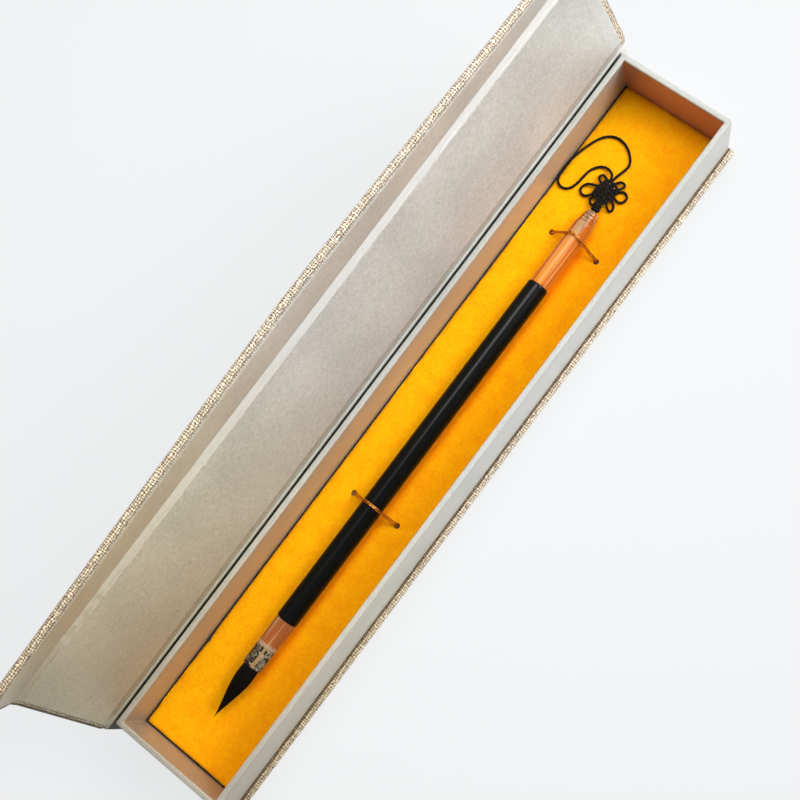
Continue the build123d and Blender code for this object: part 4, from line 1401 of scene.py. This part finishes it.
TIE_D = 0.66 * MM
TIE_SPREAD = 0.42 * MM
TIE_CLEAR = 0.12 * MM
TIE_LOW_Z = FLOOR_TOP_Z + 0.55 * MM
PLY_PITCH = 1.5 * MM
TIE_SIDES = 12
THREAD_STEP = 0.15 * MM
TIE_BOW = {"upper_tie": 2.3 * MM, "lower_tie": 0.5 * MM}


def plies(turn, along):
    """Radius of a thread of two plies, as a share of its full one."""
    return 0.68 + 0.32 * abs(math.cos(turn - math.pi * along / PLY_PITCH))


def tie_line(name, side, rod_d):
    """One strand: from the knot below, up a hole, over the brush and down the other."""
    low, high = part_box(name)
    x = (low.x + high.x) / 2
    near = low.y + TIE_D / 2
    far = high.y - TIE_D / 2
    radius = rod_d / 2 + TIE_CLEAR + TIE_D / 2
    run = side * TIE_SPREAD

    def at(y, z, lean=0.0):
        return Vector((x + run * (1 - 0.25 * lean) + TIE_BOW[name] * lean, y, z))

    controls = [at(0, TIE_LOW_Z), at(near + 2 * MM, TIE_LOW_Z), at(near, TIE_LOW_Z),
                at(near, PAD_TOP - MM), at(near, PAD_TOP + 0.2 * MM, 0.05)]
    wrap = []
    for degrees in range(-45, 46, 15):
        turn = math.radians(degrees)
        y = BRUSH_Y + 1.02 * radius * math.sin(turn)
        z = BRUSH_Z + 1.02 * radius * math.cos(turn)
        wrap.append(at(y, z, math.cos(turn * 1.2)))
    fall_end = at(far, PAD_TOP + 0.2 * MM, 0.05)
    rise, fall = [[top.lerp(foot, share) + Vector((0, 0, 0.3 * MM * share)) for share in (0.35, 0.7)]
                  for top, foot in ((wrap[0], controls[-1]), (wrap[-1], fall_end))]
    controls += rise[::-1] + wrap + fall + [fall_end, at(far, PAD_TOP - MM), at(far, TIE_LOW_Z),
                                            at(far - 2 * MM, TIE_LOW_Z), at(0.3 * MM, TIE_LOW_Z)]
    return smooth_line(controls, THREAD_STEP)


copper, tree, shader = material("copper_lurex")
plain(shader, (0.70, 0.28, 0.05), 0.24, metallic=0.9)
tones = toned(tree, noise_over(tree, 1500.0, 3.0), (0.35, (0.16, 0.03, 0.003)), (0.62, (0.88, 0.36, 0.06)))
tree.links.new(tones, shader.inputs["Base Color"])

for name, rod in zip(TIES, ("top_cap", "brush_handle")):
    rod_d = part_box(rod)[1].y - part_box(rod)[0].y
    lines = [tie_line(name, side, rod_d) for side in (-1, 1)]
    low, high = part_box(name)
    knot_x = (low.x + high.x) / 2
    knot_line = []
    for i in range(26):
        turn = i * 0.5
        knot_line.append(Vector((knot_x + 0.5 * MM * math.sin(turn), 0.9 * MM * math.cos(turn / 2),
                                 TIE_LOW_Z + 0.1 * MM * math.cos(turn))))
    lines.append(smooth_line(knot_line, THREAD_STEP))
    tie = tubes_object(name + "_threads", lines, TIE_D, TIE_SIDES, plies)
    dress(tie, copper)
    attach(tie, "root")
    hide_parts(name)

# ---- Brush handle --------------------------------------------------------------------------
# A turned wooden rod under black lacquer, rubbed to a low gloss, its ends eased.

lacquer, tree, shader = material("black_lacquer")
plain(shader, (0.0015, 0.002, 0.0015), 0.30, specular=0.06)
shader.inputs["Coat Weight"].default_value = 0.22
shader.inputs["Coat Roughness"].default_value = 0.15
rubbed = noise_over(tree, 90.0, 4.0, stretch=0.06)
tree.links.new(graded(tree, rubbed, 0.0, 1.0, To_Min=0.26, To_Max=0.40), shader.inputs["Roughness"])
raise_surface(tree, shader, rubbed, 0.01 * MM)
dress(frame["nodes"]["brush_handle"], lacquer)

# ---- Ferrule and cap -----------------------------------------------------------------------
# Cast resin like pale horn, clear enough to show the pad's colour. The ferrule is bored for the
# hair; the cap tapers to the hole that the cord is glued into, with three turned rings. The light
# that runs lengthwise through the resin and the dark of its grooves are in its colour.

RING_PITCH = 1.55 * MM       # of the cap's turned rings

resin, tree, shader = material("horn_clear_resin")
plain(shader, (0.85, 0.36, 0.07), 0.14, specular=0.1)
shader.inputs["Transmission Weight"].default_value = 0.5
shader.inputs["IOR"].default_value = 1.35
cloudy = noise_over(tree, 420.0, 5.0, Distortion=1.6)
along = place_along(tree, "X")
wander = wandering(tree, along, cloudy, 0.010)
slight = wandering(tree, along, cloudy, 0.0025)
body = toned(tree, noise_over(tree, 70.0, 4.0, stretch=0.15), (0.35, (0.62, 0.12, 0.004)),
             (0.65, (0.82, 0.22, 0.012)))
clear = mixed(tree, graded(tree, wander, 0.094, 0.101), (0.93, 0.42, 0.05), (0.52, 0.32, 0.17))
ring_turn = maths(tree, "MULTIPLY", maths(tree, "SUBTRACT", along, CAP_END - 2.3 * MM),
                  2 * math.pi / RING_PITCH)
grooves = product(tree, graded(tree, maths(tree, "COSINE", ring_turn), 0.55, 0.85),
                  graded(tree, along, CAP_END - 7.0 * MM, CAP_END - 5.5 * MM, To_Max=1.4), cloudy)
clear = mixed(tree, grooves, clear, (0.09, 0.04, 0.02))
band = product(tree, between(tree, "Y", BRUSH_Y - 1.5 * MM, BRUSH_Y - 1.2 * MM),
               between(tree, "Y", BRUSH_Y + 2.5 * MM, BRUSH_Y + 1.9 * MM))
colour = mixed(tree, band, body, clear)
marble = toned(tree, cloudy, (0.47, (0.035, 0.028, 0.02)), (0.62, (0.62, 0.52, 0.38)))
for place, start, stop, tint in ((wander, -0.080, -0.090, (0.52, 0.17, 0.05)),
                                 (slight, -0.1064, -0.1075, (0.70, 0.50, 0.33)),
                                 (slight, -0.1080, -0.1092, marble)):
    colour = mixed(tree, graded(tree, place, start, stop), colour, tint)
streaks = graded(tree, noise_over(tree, 700.0, 2.0, stretch=0.03), 0.52, 0.62, To_Max=0.8)
tree.links.new(mixed(tree, streaks, colour, (0.86, 0.52, 0.22)), shader.inputs["Base Color"])
for name in ("ferrule", "top_cap"):
    dress(frame["nodes"][name], resin)

# ---- Hair ----------------------------------------------------------------------------------
# A tuft of black-dyed hair, its root set in cloudy glue inside the ferrule, combed to a point.

glue, tree, shader = material("marbled_hair_glue")
plain(shader, (0.2, 0.16, 0.12), 0.35)
clouds = noise_over(tree, 380.0, 5.0, Distortion=1.5)
tones = toned(tree, clouds, (0.38, (0.05, 0.032, 0.018)), (0.66, (0.48, 0.38, 0.27)))
tree.links.new(tones, shader.inputs["Base Color"])
raise_surface(tree, shader, clouds, 0.05 * MM)
dress(frame["nodes"]["hair_root"], glue)

tuft_low, tuft_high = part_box("hair_tuft")
HAIR_L = tuft_high.x - tuft_low.x
HAIR_R = (tuft_high.y - tuft_low.y) / 2
ROOT_R = 3.38 * MM
BELLY = 0.22
HAIRS = 190
HAIR_THICK = 0.24 * MM
HAIR_SEED = 7


def tuft_radius(share):
    """Radius of the tuft, from its root at 0 to its tip at 1."""
    if share < BELLY:
        return ROOT_R + (HAIR_R - ROOT_R) * math.sin(math.pi / 2 * share / BELLY)
    return HAIR_R * (1 - ((share - BELLY) / (1 - BELLY)) ** 1.5) ** 1.3


hair_draw = random.Random(HAIR_SEED)
hair_lines = []
for i in range(HAIRS):
    turn = 2 * math.pi * (i + hair_draw.uniform(-0.4, 0.4)) / HAIRS
    stop = 1.0 - 0.16 * hair_draw.random() ** 2
    drift = hair_draw.uniform(-0.35, 0.35)
    sink = hair_draw.uniform(0.3, 1.0)
    controls = []
    for k in range(9):
        share = stop * k / 8
        radius = tuft_radius(share) - 0.5 * HAIR_THICK * sink
        radius = max(radius, 0.03 * MM)
        angle = turn + drift * share * share
        controls.append(Vector((tuft_high.x - HAIR_L * share, BRUSH_Y + radius * math.cos(angle),
                                BRUSH_Z + radius * math.sin(angle))))
    hair_lines.append(evenly(controls, 0.9 * MM))


def hair_taper(turn, along):
    """A hair thins to its end."""
    return max(0.18, 1 - 0.9 * (along / HAIR_L) ** 2)


core = []
for k in range(41):
    core.append(Vector((tuft_high.x - HAIR_L * 0.985 * k / 40, BRUSH_Y, BRUSH_Z)))
core_tube = tube(core, 2 * HAIR_R, 48, lambda turn, along: max(
    0.01, tuft_radius(along / HAIR_L) / HAIR_R - 0.025))
hair_tubes = [tube(line, HAIR_THICK, 5, hair_taper) for line in hair_lines]
tuft = joined("hair_tuft_combed", [core_tube] + hair_tubes)
black_hair, tree, shader = material("black_hair")
plain(shader, (0.003, 0.0022, 0.002), 0.5, specular=0.08)
streaks = noise_over(tree, 1800.0, 2.0, stretch=0.05)
tones = toned(tree, streaks, (0.0, (0.0012, 0.001, 0.001)), (1.0, (0.007, 0.005, 0.004)))
tree.links.new(tones, shader.inputs["Base Color"])
dress(tuft, black_hair)
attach(tuft, "brush")
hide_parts("hair_tuft")
